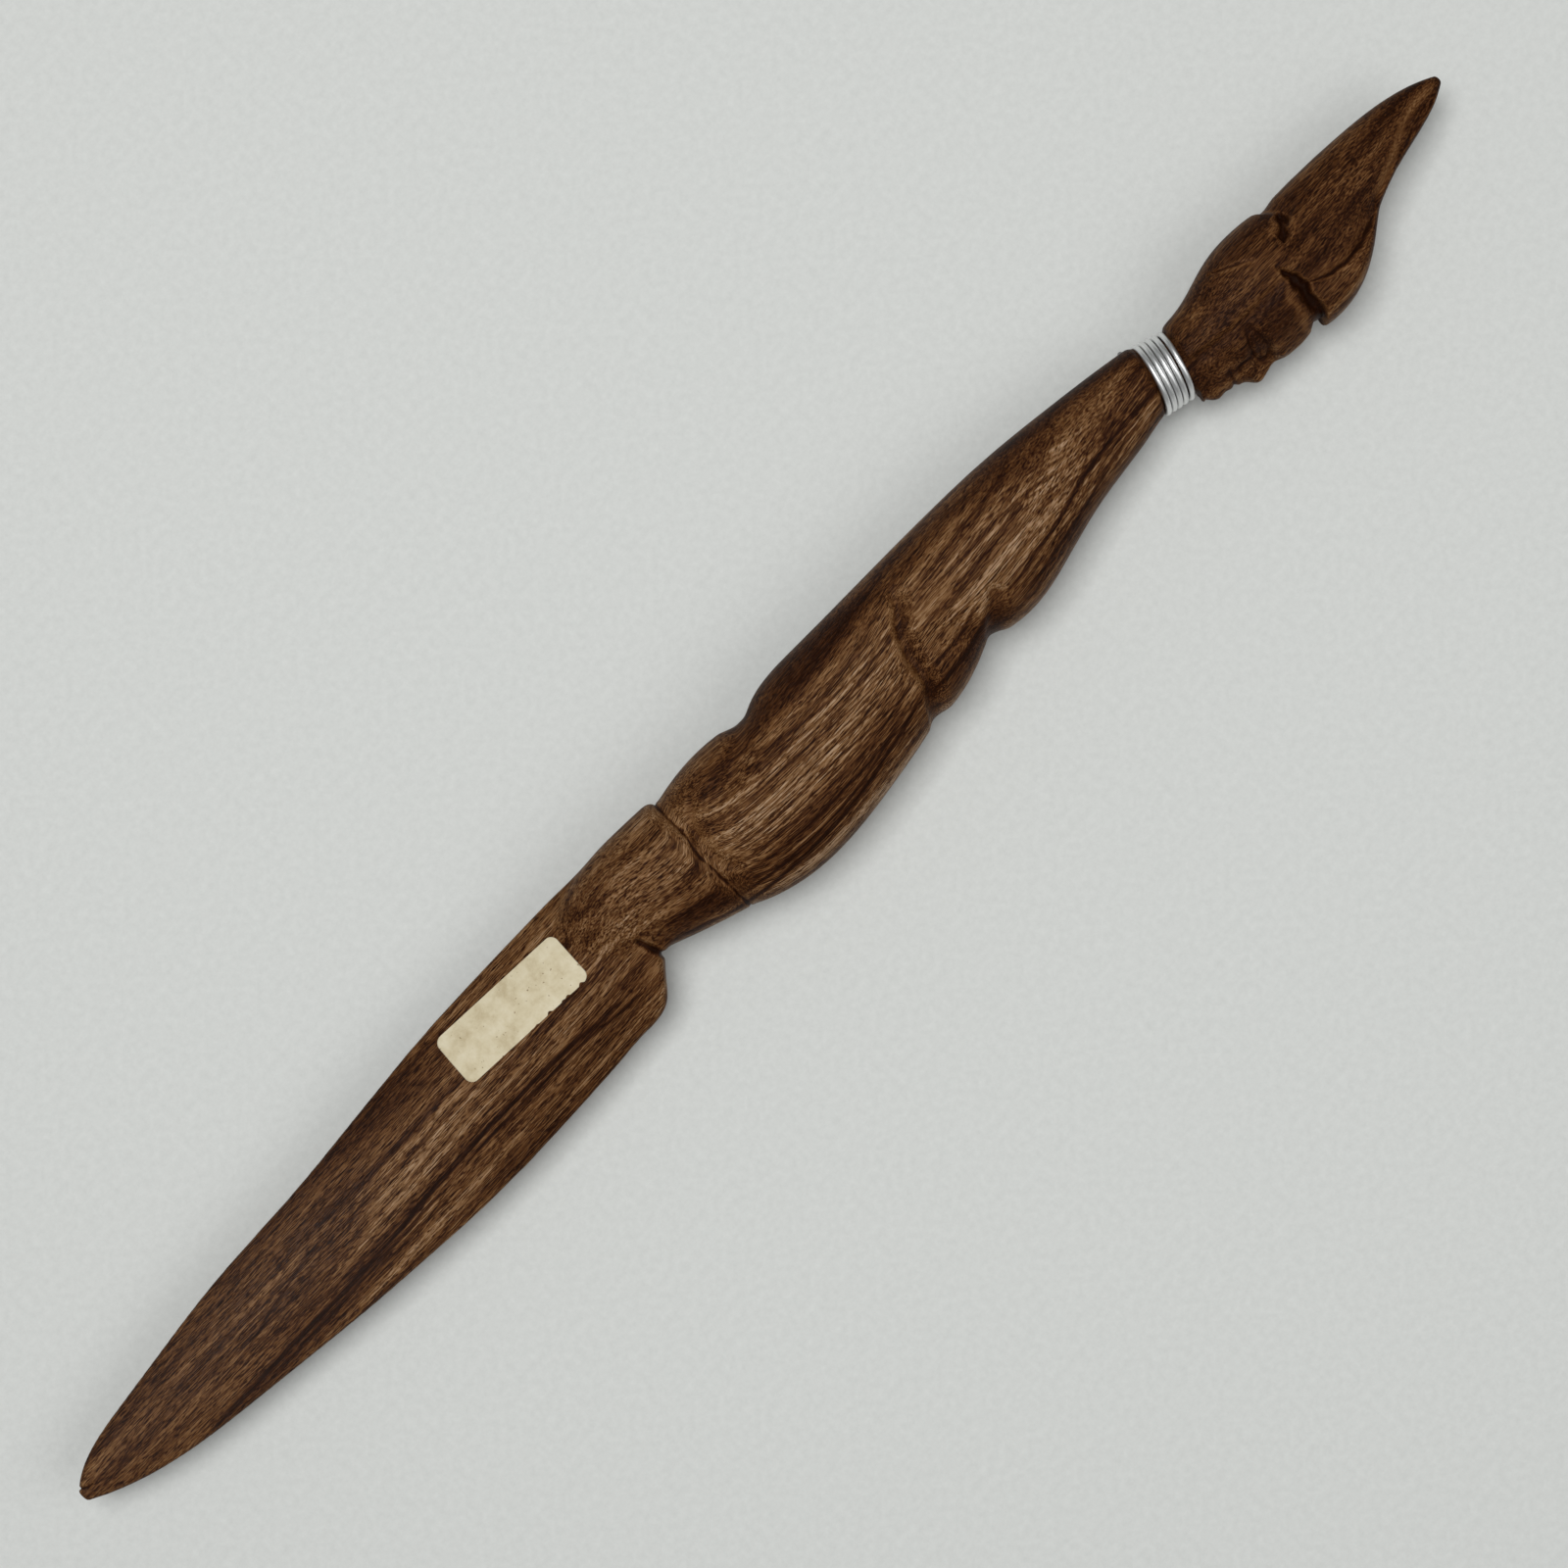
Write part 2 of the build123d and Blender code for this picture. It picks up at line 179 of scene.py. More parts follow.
# Tones are shares of the wood's middle tone, and weights say how far a mark covers what is under it
PALEST = 4.0
WORN_TONE = 2.6
PORE_TONE = 0.12
STREAK_TONE = 0.1
BAND_TONES = (0.45, 1.55)
LINE_TONES = (0.1, 2.0)
FIBRE_SHARE = 1.6
FIBRE_LEAST = 0.6
FIBRE_WEIGHT = 0.6
PORE_WEIGHT = 0.8
DIRT_AND_SHADE_WEIGHT = 0.85
CROWDING = 0.2

# Growth layers: their tone by level, how far they dip along the stick, and their tilt
LAYER_TONES = [(-12.0, 1.3), (-6.0, 1.5), (-4.0, 1.7), (-1.5, 1.35), (1.0, 0.95), (3.0, 0.9), (4.5, 1.1),
               (6.0, 1.35), (8.0, 1.4), (9.5, 1.25), (13.0, 1.15)]
LAYER_DIP = [(0.0, 6.5), (100.0, 4.2), (112.0, 0.6), (127.0, 0.0), (168.0, 1.0), (185.0, 0.8), (213.0, 4.8),
             (224.0, 2.2), (238.0, 1.0), (250.0, 2.0), (275.0, 5.5)]
DEEPEST_DIP = 8.0
LAYER_TILT = 0.55

# Rings within the layers: how plainly they show along the stick, and how they fade behind
RING_SHARE = [(0.0, 0.35), (100.0, 0.45), (112.0, 0.3), (125.0, 0.3), (133.0, 1.0), (160.0, 1.0),
              (170.0, 0.5), (185.0, 0.6), (215.0, 0.6), (222.0, 0.25), (275.0, 0.25)]
RING_SWING = 0.6
RING_FADE = (1.0, 5.0)
RING_BEHIND = 0.3

# How far the grain runs aside along the stick, and how the wax shines along it
WIDEST = 40.0
GRAIN_RUN = [(0.0, 0.0), (100.0, 0.0), (112.0, 0.5), (123.5, -1.0), (126.5, 2.6), (130.0, 1.4), (136.0, 0.3),
             (143.0, 0.0), (152.0, 0.2), (160.0, 1.0), (168.0, 2.6), (180.0, 3.6), (216.0, 8.2), (240.0, 8.6),
             (275.0, 9.0)]
SHINE = [(0.0, 0.15), (12.0, 0.17), (45.0, 0.16), (70.0, 0.08), (100.0, 0.05), (190.0, 0.05), (275.0, 0.05)]
WAX_ROUGHNESS = (0.5, 0.38)
GRAIN_RELIEF = 0.06

# Dark streaks in the wood: line, width and strength; then the share of the width that is darkest, and
# of the length over which each end fades
STREAKS = [
    ([(13.0, -6.9), (30.0, -6.6), (50.9, -6.5), (65.6, -5.7), (80.4, -5.4), (91.4, -5.8), (108.0, -7.5)],
     0.7, 1.0),
    ([(24.0, -7.8), (48.0, -7.3), (68.0, -6.6), (84.0, -6.3)], 0.4, 0.8),
    ([(26.4, -3.2), (41.0, -0.6), (54.0, 1.2)], 0.35, 0.7),
    ([(70.0, -6.5), (92.0, -6.8), (108.0, -8.2)], 0.45, 0.9),
    ([(111.0, -4.6), (119.0, -5.9), (126.0, -7.3), (134.0, -7.9), (146.0, -7.6), (156.0, -6.6),
      (166.0, -5.0)], 1.9, 0.5),
    ([(110.0, -5.4), (118.0, -7.5), (125.0, -9.6), (131.8, -10.5), (143.7, -10.6), (155.6, -8.9),
      (166.0, -7.0)], 0.5, 1.0),
    ([(122.0, -8.0), (135.0, -9.7), (146.0, -9.6), (161.0, -7.2)], 0.4, 0.95),
    ([(162.0, -8.2), (170.0, -7.9), (178.0, -6.4)], 0.6, 0.95),
    ([(164.0, -5.8), (170.0, -5.9), (177.0, -4.6)], 0.5, 0.8),
    ([(177.0, -6.5), (190.0, -4.7), (203.5, -2.1), (219.0, -1.5)], 0.6, 0.95),
    ([(180.0, -8.0), (194.0, -6.0), (213.0, -3.0)], 0.45, 0.9),
    ([(128.0, 4.4), (140.0, 6.4), (152.0, 7.2), (172.0, 7.4)], 1.6, 0.45),
]
STREAK_CORE = 0.2
STREAK_FADE = 0.15


def waxed_hardwood():
    """Flat-sawn dark hardwood, knife-carved, sanded and rubbed with wax. Its growth layers show as
    nested contours round the swellings, with fine dark pores and paler fibres along the length,
    darker heart streaks and a low satin gloss."""
    material, tree, shader = finish_of("waxed_hardwood")
    object_place = add(tree, "TexCoord", out="Object")
    place = add(tree, "Mapping", {"Vector": object_place, "Scale": (1 / MM, 1 / MM, 1 / MM),
                                  "Location": (-TIP, -CENTRE_LINE, -MIDDLE_LAYER)})

    # The whole grain sways a little along the stick
    sway_place = add(tree, "Mapping", {"Vector": place, "Scale": per_mm(*SWAY_SIZE)})
    sway_noise = add(tree, "TexNoise", {"Vector": sway_place, "Scale": 1.0, "Detail": 2.0}, out=1)
    sway = add(tree, "VectorMath", {0: sway_noise, 1: (0.5, 0.5, 0.5)}, operation="SUBTRACT")
    grain = add(tree, "VectorMath", {0: sway, 1: SWAY_MOST, 2: place}, operation="MULTIPLY_ADD")
    along, aside, high = add(tree, "SeparateXYZ", {"Vector": grain}).node.outputs
    along_share = add(tree, "Math", {0: along, 1: 1 / LENGTH}, operation="MULTIPLY")

    # Growth layers: a pale crest over darker layers, with finer rings within them
    dip_share = add(tree, "FloatCurve", {"Value": along_share}, curve=[
        (s / LENGTH, dip / DEEPEST_DIP) for s, dip in LAYER_DIP])
    dipped = add(tree, "Math", {0: dip_share, 1: DEEPEST_DIP, 2: high}, operation="MULTIPLY_ADD")
    level = add(tree, "Math", {0: aside, 1: LAYER_TILT, 2: dipped}, operation="MULTIPLY_ADD")
    low_level, high_level = LAYER_TONES[0][0], LAYER_TONES[-1][0]
    level_share = add(tree, "MapRange", {"Value": level, 1: low_level, 2: high_level})
    layer_share = add(tree, "FloatCurve", {"Value": level_share}, curve=[
        ((at - low_level) / (high_level - low_level), tone / PALEST) for at, tone in LAYER_TONES])
    layered = add(tree, "Math", {0: layer_share, 1: PALEST}, operation="MULTIPLY")
    ring_most = add(tree, "FloatCurve", {"Value": along_share}, curve=[
        (s / LENGTH, share) for s, share in RING_SHARE])
    ring_front = add(tree, "MapRange", {
        "Value": aside, 1: RING_FADE[0], 2: RING_FADE[1], 3: 1.0, 4: RING_BEHIND})
    ring_share = add(tree, "Math", {0: ring_most, 1: ring_front}, operation="MULTIPLY")
    ring_low = add(tree, "Math", {0: ring_share, 1: -RING_SWING, 2: 1.0}, operation="MULTIPLY_ADD")
    ring_high = add(tree, "Math", {0: ring_share, 1: RING_SWING, 2: 1.0}, operation="MULTIPLY_ADD")
    far_along = add(tree, "Math", {0: along, 1: 1 / RING_LENGTH}, operation="MULTIPLY")
    ring_level = add(tree, "Math", {0: level, 1: 1 / RING_WIDTH}, operation="MULTIPLY")
    ring_place = add(tree, "CombineXYZ", {"X": far_along, "Y": ring_level})
    ring = add(tree, "TexNoise", {"Vector": ring_place, "Scale": 1.0, "Detail": 2.5, "Roughness": 0.6},
               noise_dimensions="2D")
    ring_tone = add(tree, "MapRange", {"Value": ring, 1: 0.34, 2: 0.66, 3: ring_low, 4: ring_high})
    ringed = add(tree, "Math", {0: layered, 1: ring_tone}, operation="MULTIPLY")
    # Tone of the stick's stretches, with painted shade round the neck under the winding
    tone_and_shade = add(tree, "Attribute", out="Fac", attribute_name="tone_and_shade")
    toned = add(tree, "Math", {0: ringed, 1: tone_and_shade}, operation="MULTIPLY")

    # Lengthwise bands, and long fine lines within them, which run a little towards the figure's front
    # or back as the stick was split
    run_share = add(tree, "FloatCurve", {"Value": along_share}, curve=[
        (s / LENGTH, 0.5 + aside_run / WIDEST) for s, aside_run in GRAIN_RUN])
    run_back = add(tree, "Math", {0: run_share, 1: -WIDEST, 2: WIDEST / 2}, operation="MULTIPLY_ADD")
    run_aside = add(tree, "Math", {0: aside, 1: run_back}, operation="ADD")
    fibre_run = add(tree, "CombineXYZ", {"X": along, "Y": run_aside, "Z": high})
    band_place = add(tree, "Mapping", {"Vector": fibre_run, "Scale": per_mm(*BAND_SIZE)})
    band = add(tree, "TexNoise", {"Vector": band_place, "Scale": 1.0, "Detail": 2.0})
    band_tone = add(tree, "MapRange", {"Value": band, 1: 0.3, 2: 0.7, 3: BAND_TONES[0], 4: BAND_TONES[1]})
    banded = add(tree, "Math", {0: toned, 1: band_tone}, operation="MULTIPLY")
    line_place = add(tree, "Mapping", {"Vector": fibre_run, "Scale": per_mm(*LINE_SIZE)})
    line = add(tree, "TexNoise", {"Vector": line_place, "Scale": 1.0, "Detail": 2.0, "Roughness": 0.6})
    line_tone = add(tree, "MapRange", {
        "Value": line, 1: 0.36, 2: 0.64, 3: LINE_TONES[0], 4: LINE_TONES[1]})
    lined = add(tree, "Math", {0: banded, 1: line_tone}, operation="MULTIPLY")

    # Pale fibres and dark pores, each crowded in its own bands
    fibre_place = add(tree, "Mapping", {"Vector": fibre_run, "Scale": per_mm(*FIBRE_SIZE)})
    fibre_noise = add(tree, "TexNoise", {"Vector": fibre_place, "Scale": 1.0, "Detail": 1.0})
    fibre_crowd = add(tree, "Math", {0: band, 1: CROWDING, 2: fibre_noise}, operation="MULTIPLY_ADD")
    fibre = add(tree, "MapRange", {"Value": fibre_crowd, 1: 0.62, 2: 0.74}, interpolation_type="SMOOTHSTEP")
    fibre_weight = add(tree, "Math", {0: fibre, 1: FIBRE_WEIGHT}, operation="MULTIPLY")
    fibre_tone = add(tree, "Math", {0: banded, 1: FIBRE_SHARE, 2: FIBRE_LEAST}, operation="MULTIPLY_ADD")
    fibred = add(tree, "Mix", {0: fibre_weight, 2: lined, 3: fibre_tone})
    pore_place = add(tree, "Mapping", {"Vector": fibre_run, "Location": PORE_SHIFT,
                                       "Scale": per_mm(*PORE_SIZE)})
    pore_noise = add(tree, "TexNoise", {"Vector": pore_place, "Scale": 1.0, "Detail": 1.0})
    pore_crowd = add(tree, "Math", {0: band, 1: -CROWDING, 2: pore_noise}, operation="MULTIPLY_ADD")
    pore = add(tree, "MapRange", {"Value": pore_crowd, 1: 0.42, 2: 0.54}, interpolation_type="SMOOTHSTEP")
    pore_weight = add(tree, "Math", {0: pore, 1: PORE_WEIGHT}, operation="MULTIPLY")
    pored = add(tree, "Mix", {0: pore_weight, 2: fibred, 3: PORE_TONE})

    # Dark heart streaks, each a drawn line whose edges the fibres break up
    streaked = pored
    broken = add(tree, "MapRange", {"Value": line, 1: 0.35, 2: 0.65, 3: 1.0, 4: 0.75})
    for path, width, strength in STREAKS:
        shares = [(s / LENGTH, 0.5 + a / WIDEST) for s, a in path]
        run = add(tree, "FloatCurve", {"Value": along_share}, curve=[
            (0.0, shares[0][1]), *shares, (1.0, shares[-1][1])])
        middle = add(tree, "Math", {0: run, 1: WIDEST, 2: -WIDEST / 2}, operation="MULTIPLY_ADD")
        off = add(tree, "Math", {0: aside, 1: middle}, operation="SUBTRACT")
        off_width = add(tree, "Math", {0: off}, operation="ABSOLUTE")
        near = add(tree, "MapRange", {
            "Value": off_width, 1: STREAK_CORE * width, 2: width, 3: strength, 4: 0.0},
            interpolation_type="SMOOTHSTEP")
        start, end = shares[0][0], shares[-1][0]
        fade = STREAK_FADE * (end - start)
        there = add(tree, "FloatCurve", {"Value": along_share}, curve=[
            (0.0, 0.0), (start, 0.0), (start + fade, 1.0), (end - fade, 1.0), (end, 0.0), (1.0, 0.0)])
        strong = add(tree, "Math", {0: near, 1: there}, operation="MULTIPLY")
        weight = add(tree, "Math", {0: strong, 1: broken}, operation="MULTIPLY")
        streaked = add(tree, "Mix", {0: weight, 2: streaked, 3: STREAK_TONE})

    # Wax and dirt packed in the cuts, with painted shade darkening the cuts and creases, and high places
    # rubbed paler
    # painted shade: the cuts and creases are darkened as their shade, along with the wax and dirt in them
    dirt_and_shade = add(tree, "Attribute", out="Fac", attribute_name="dirt_and_shade")
    dirt_and_shade_weight = add(tree, "Math", {0: dirt_and_shade, 1: DIRT_AND_SHADE_WEIGHT}, operation="MULTIPLY")
    dirtied_and_shaded = add(tree, "Mix", {0: dirt_and_shade_weight, 2: streaked, 3: STREAK_TONE})
    rubbed = add(tree, "Attribute", out="Fac", attribute_name="rubbed")
    rubbed_patchy = add(tree, "MapRange", {"Value": fibre_noise, 1: 0.35, 2: 0.6, 3: 0.35, 4: 1.0})
    rubbed_weight = add(tree, "Math", {0: rubbed, 1: rubbed_patchy}, operation="MULTIPLY")
    worn = add(tree, "Mix", {0: rubbed_weight, 2: dirtied_and_shaded, 3: WORN_TONE})

    # Dark tones are deep red-brown, pale ones a greyer tan
    worn_share = add(tree, "Math", {0: worn, 1: 1 / PALEST}, operation="MULTIPLY")
    colour = add(tree, "ValToRGB", {"Fac": worn_share}, stops=[
        (0.0, "#110500"), (0.08, "#260f03"), (0.14, "#3a1f0c"), (0.25, "#503118"), (0.38, "#654325"),
        (0.65, "#866442"), (1.0, "#a3876b")])
    tree.links.new(colour, shader.inputs["Base Color"])

    gloss = add(tree, "MapRange", {
        "Value": line, 1: 0.35, 2: 0.65, 3: WAX_ROUGHNESS[0], 4: WAX_ROUGHNESS[1]})
    tree.links.new(gloss, shader.inputs["Roughness"])
    shader.inputs["IOR"].default_value = 1.5
    shine = add(tree, "FloatCurve", {"Value": along_share}, curve=[(s / LENGTH, share) for s, share in SHINE])
    tree.links.new(shine, shader.inputs["Specular IOR Level"])
    raised = add(tree, "Math", {0: fibre, 1: 0.5, 2: line}, operation="MULTIPLY_ADD")
    sunk = add(tree, "Math", {0: pore, 1: -1.0, 2: raised}, operation="MULTIPLY_ADD")
    relief = add(tree, "Bump", {"Height": sunk, "Strength": 0.6, "Distance": GRAIN_RELIEF * MM})
    tree.links.new(relief, shader.inputs["Normal"])
    return material


def drawn_aluminium():
    """Soft aluminium wire, drawn through a die and handled: bright along its crest, with lengthwise die
    lines, which are drawn coarser than real ones so that they show."""
    material, tree, shader = finish_of("drawn_aluminium")
    turn = math.tau * (NECK_RADIUS + WIRE / 2)
    girth = math.pi * WIRE
    die_lines = (turn / DIE_LINE[0], girth / DIE_LINE[1], 1.0)
    turn_place = add(tree, "UVMap")
    die_place = add(tree, "Mapping", {"Vector": turn_place, "Scale": die_lines})
    die = add(tree, "TexNoise", {"Vector": die_place, "Scale": 1.0, "Detail": 3.0})
    colour = add(tree, "ValToRGB", {"Fac": die}, stops=[(0.3, "#d2d3d3"), (0.7, "#f5f5f4")])
    tree.links.new(colour, shader.inputs["Base Color"])
    dull = add(tree, "MapRange", {"Value": die, 1: 0.3, 2: 0.7, 3: 0.46, 4: 0.36})
    tree.links.new(dull, shader.inputs["Roughness"])
    shader.inputs["Metallic"].default_value = 1.0
    scratch = add(tree, "Bump", {"Height": die, "Strength": 0.25, "Distance": 0.02 * MM})
    tree.links.new(scratch, shader.inputs["Normal"])
    return material


def aged_label_paper():
    """Uncoated cream paper, gone yellow: matt, cloudy, with small brown specks."""
    material, tree, shader = finish_of("aged_label_paper")
    object_place = add(tree, "TexCoord", out="Object")
    place = add(tree, "VectorMath", {0: object_place, "Scale": 1 / MM}, operation="SCALE")
    cloud_place = add(tree, "Mapping", {"Vector": place, "Scale": per_mm(2.2, 2.2, 2.2)})
    cloud = add(tree, "TexNoise", {"Vector": cloud_place, "Scale": 1.0, "Detail": 5.0, "Roughness": 0.65})
    clouded = add(tree, "ValToRGB", {"Fac": cloud}, stops=[
        (0.3, "#bcad8c"), (0.5, "#cfc3a4"), (0.7, "#dad0b5")])
    speck_place = add(tree, "Mapping", {"Vector": place, "Scale": per_mm(0.5, 0.5, 0.5)})
    speck_noise = add(tree, "TexNoise", {"Vector": speck_place, "Scale": 1.0, "Detail": 1.0})
    speck = add(tree, "MapRange", {"Value": speck_noise, 1: 0.7, 2: 0.78, 4: 0.75},
                interpolation_type="SMOOTHSTEP")
    specked = add(tree, "Mix", {0: speck, 6: clouded, 7: linear("#6d5130")}, out=2, data_type="RGBA")
    tree.links.new(specked, shader.inputs["Base Color"])
    shader.inputs["Roughness"].default_value = 0.8
    shader.inputs["Specular IOR Level"].default_value = 0.25
    relief = add(tree, "Bump", {"Height": cloud, "Strength": 0.3, "Distance": 0.03 * MM})
    tree.links.new(relief, shader.inputs["Normal"])
    return material


def pale_board():
    """Plain pale painted board under the opener, matt and faintly mottled."""
    material, tree, shader = finish_of("pale_board")
    object_place = add(tree, "TexCoord", out="Object")
    place = add(tree, "VectorMath", {0: object_place, "Scale": 1 / MM}, operation="SCALE")
    mottle_place = add(tree, "Mapping", {"Vector": place, "Scale": per_mm(1.2, 1.2, 1.2)})
    mottle = add(tree, "TexNoise", {"Vector": mottle_place, "Scale": 1.0, "Detail": 6.0, "Roughness": 0.7})
    colour = add(tree, "ValToRGB", {"Fac": mottle}, stops=[(0.3, "#cfd1ce"), (0.7, "#d9dbd8")])
    tree.links.new(colour, shader.inputs["Base Color"])
    shader.inputs["Roughness"].default_value = 0.85
    shader.inputs["Specular IOR Level"].default_value = 0.2
    return material


def shown(name, mesh, material):
    """A new object in the scene with that mesh and material, shaded smooth."""
    piece = bpy.data.objects.new(name, mesh)
    bpy.context.scene.collection.objects.link(piece)
    mesh.materials.clear()
    mesh.materials.append(material)
    mesh.shade_smooth()
    return piece


def with_modifier(piece, kind, **settings):
    """Applies one modifier to a piece's mesh."""
    modifier = piece.modifiers.new(kind.lower(), kind)
    for name, value in settings.items():
        setattr(modifier, name, value)
    evaluated = piece.evaluated_get(bpy.context.evaluated_depsgraph_get())
    piece.data = bpy.data.meshes.new_from_object(evaluated)
    piece.modifiers.clear()


def read_vectors(items, name):
    """A vector property of all of a mesh's items as rows of an array."""
    values = np.empty(len(items) * 3, np.float32)
    items.foreach_get(name, values)
    return values.reshape(-1, 3).astype(float)


def to_figure(points):
    """Points in metres as millimetres along, aside and high on the figure."""
    return points / MM - np.array([TIP, CENTRE_LINE, MIDDLE_LAYER])


def to_frame(along, aside, high):
    """A place on the figure as a point in metres."""
    return Vector((along + TIP, aside + CENTRE_LINE, high + MIDDLE_LAYER)) * MM


def place_vertices(mesh, points):
    """Moves a mesh's vertices to these places on the figure."""
    mesh.vertices.foreach_set("co", ((points + [TIP, CENTRE_LINE, MIDDLE_LAYER]) * MM).ravel())
    mesh.update()


def ease(value, start, end):
    """Goes smoothly from 0 at start to 1 at end."""
    share = np.clip((value - start) / (end - start), 0, 1)
    return share * share * (3 - 2 * share)


def hump(value, middle, reach):
    """1 at the middle, falling smoothly to 0 at that reach either side."""
    return 1 - ease(np.abs(value - middle), 0, reach)


def from_line(along, aside, line):
    """Least distance to a line drawn on the figure's side, which side of it each place is on, and the
    share gone along it."""
    lengths = [math.dist(start, end) for start, end in zip(line, line[1:])]
    least = np.full(len(along), np.inf)
    side = np.zeros(len(along))
    gone = np.zeros(len(along))
    before = 0.0
    for start, end, length in zip(line, line[1:], lengths):
        run = np.subtract(end, start) / length
        ahead = (along - start[0]) * run[0] + (aside - start[1]) * run[1]
        left = (aside - start[1]) * run[0] - (along - start[0]) * run[1]
        off = np.hypot(left, ahead - np.clip(ahead, 0, length))
        nearer = off < least
        least = np.where(nearer, off, least)
        side = np.where(nearer, np.sign(left), side)
        gone = np.where(nearer, (before + np.clip(ahead, 0, length)) / sum(lengths), gone)
        before += length
    return least, side, gone


def rubbed_down(points, edges, strength, rounds):
    """Each vertex drawn towards the mean of its neighbours, over and over."""
    first, second = edges.T
    total = len(points)
    neighbours = np.bincount(edges.ravel(), minlength=total)[:, None]
    for _ in range(rounds):
        mean = np.column_stack([
            np.bincount(first, points[second, axis], total) + np.bincount(second, points[first, axis], total)
            for axis in range(3)]) / neighbours
        points = points + strength[:, None] * (mean - points)
    return points


# Knife cuts, drawn on both sides of the figure: line, reach to its left and to its right, depth,
# how far the knife wandered, and the share of the line over which the cut opens out; then the share of
# its width that such a cut starts and ends with, how steep its sides are, and how pale its rims
HEM_CUT = [(125.6, 10.5), (125.5, 6.0), (125.6, 3.7), (125.1, 1.0), (124.7, -0.5), (124.9, -3.4),
           (124.6, -10.8)]
STEP_CUT = [(111.4, -6.6), (110.9, -4.6), (110.2, -2.6)]
CHISEL_NOTCH = [(242.0, -0.3), (243.4, 1.2), (244.8, 2.6)]
KNIFE_SLIP = [(231.8, 4.3), (234.5, 2.8), (237.2, 1.1)]
HAIRLINE_CUT = [(238.8, -2.0), (239.8, -4.2), (239.8, -8.0), (239.3, -11.0), (238.9, -13.4)]
FOLD_CUT = [(240.0, -6.3), (243.3, -7.8), (246.5, -8.3), (249.5, -8.1), (254.4, -6.5)]
HEADDRESS_CUTS = [
    [(262.5, -3.7), (267.0, -2.2), (271.5, -1.0)],
    [(265.0, -3.1), (269.0, -2.1), (272.5, -1.3)],
]
TIP_CHIP = [(2.6, 0.2), (1.5, 0.4), (0.2, 1.4)]
CUTS = [
    (HEM_CUT, 0.26, 0.26, 0.28, 0.16, 0.0),
    (STEP_CUT, 0.6, 0.6, 0.5, 0.05, 0.0),
    (CHISEL_NOTCH, 1.0, 0.9, 0.9, 0.55, 0.3),
    (KNIFE_SLIP, 0.45, 0.25, 0.3, 0.05, 0.9),
    (HAIRLINE_CUT, 0.4, 2.0, 1.2, 0.45, 0.4),
    (FOLD_CUT, 0.3, 0.45, 0.35, 0.06, 0.3),
    *[(line, 0.25, 0.3, 0.3, 0.05, 0.3) for line in HEADDRESS_CUTS],
    (TIP_CHIP, 0.35, 0.35, 0.35, 0.05, 0.5),
]
CUT_START = 0.25
CUT_END = 0.5
CUT_STEEPNESS = 1.6
RIM_PALENESS = 0.45

# Soft valleys and steps where two swellings meet: line, reach to its left and to its right, depth,
# and how dark it is painted, the wax in it and painted shade of the hollow together; then the share of
# its length over which each end runs out, and how far it wanders
BELLY_CREASE = [(170.6, 6.8), (168.8, 4.4), (166.4, 1.6), (165.0, -1.0), (164.3, -3.6), (163.7, -6.8),
                (159.8, -13.0)]
BREAST_CREASE = [(180.4, -3.9), (177.0, -6.6), (174.0, -10.4)]
PAD_END = [(130.6, 6.6), (126.8, 3.2), (126.1, 0.0), (126.2, -2.8), (128.2, -6.6)]
BUTTOCK_VALLEY = [(133.8, 2.4), (138.6, 6.2), (142.6, 10.4)]
HEAD_BACK = [(246.0, 1.4), (245.2, 3.2), (242.6, 7.4)]
HEADDRESS_BEVEL = [(253.5, -6.6), (257.0, -5.4), (260.6, -4.2), (266.1, -1.8), (269.5, -0.7), (274.0, -0.3)]
HEADDRESS_FRONT = [(260.0, -4.3), (263.5, -3.1), (266.1, -2.1), (269.5, -1.0), (274.0, -0.6)]
HAIR_EDGE = [(221.0, -2.2), (226.0, -3.0), (232.0, -3.6), (238.8, -3.2)]
VALLEYS = [
    (BELLY_CREASE, 3.0, 1.1, 0.85, 0.55),
    (BREAST_CREASE, 3.0, 1.6, 0.6, 0.6),
    (PAD_END, 1.6, 1.0, 0.3, 0.3),
    (BUTTOCK_VALLEY, 2.4, 2.2, 0.35, 0.1),
    (HEAD_BACK, 0.8, 2.6, 0.45, 0.3),
    (HEADDRESS_BEVEL, 2.2, 0.1, 0.45, 0.0),
    (HEADDRESS_FRONT, 0.15, 0.8, 0.4, 0.75),
    (HAIR_EDGE, 0.5, 2.4, 0.45, 0.45),
]
VALLEY_ENDS = 0.16
VALLEY_WANDER = 0.15

# Places rubbed pale by handling: line, width and how far; then the share over which each end fades
PALE_PLACES = [
    ([(129.4, 5.2), (127.7, 3.2), (127.1, 1.0), (127.3, -1.6), (128.6, -3.9), (130.4, -5.4)], 1.0, 0.45),
    ([(129.0, 2.4), (133.0, 1.2), (139.0, 0.4)], 3.0, 0.2),
    ([(168.0, 4.6), (165.6, 1.8), (164.2, -0.8), (163.5, -3.6), (163.0, -6.4)], 0.7, 0.55),
    ([(242.8, 6.2), (243.8, 5.2), (245.0, 3.1)], 0.6, 0.4),
    ([(255.5, -5.6), (260.6, -3.3), (266.1, -0.8), (269.5, 0.1), (274.2, 0.1)], 1.1, 0.55),
    ([(240.6, -5.8), (246.5, -7.5), (254.0, -5.9)], 0.8, 0.3),
    ([(168.0, 1.6), (171.5, 0.6), (175.5, 0.2)], 2.6, 0.5),
    ([(109.6, -4.4), (108.6, -6.6), (108.4, -8.6)], 1.2, 0.3),
    ([(232.8, 3.4), (235.2, 2.0), (237.6, 0.8)], 0.45, 0.6),
]
PALE_ENDS = 0.12
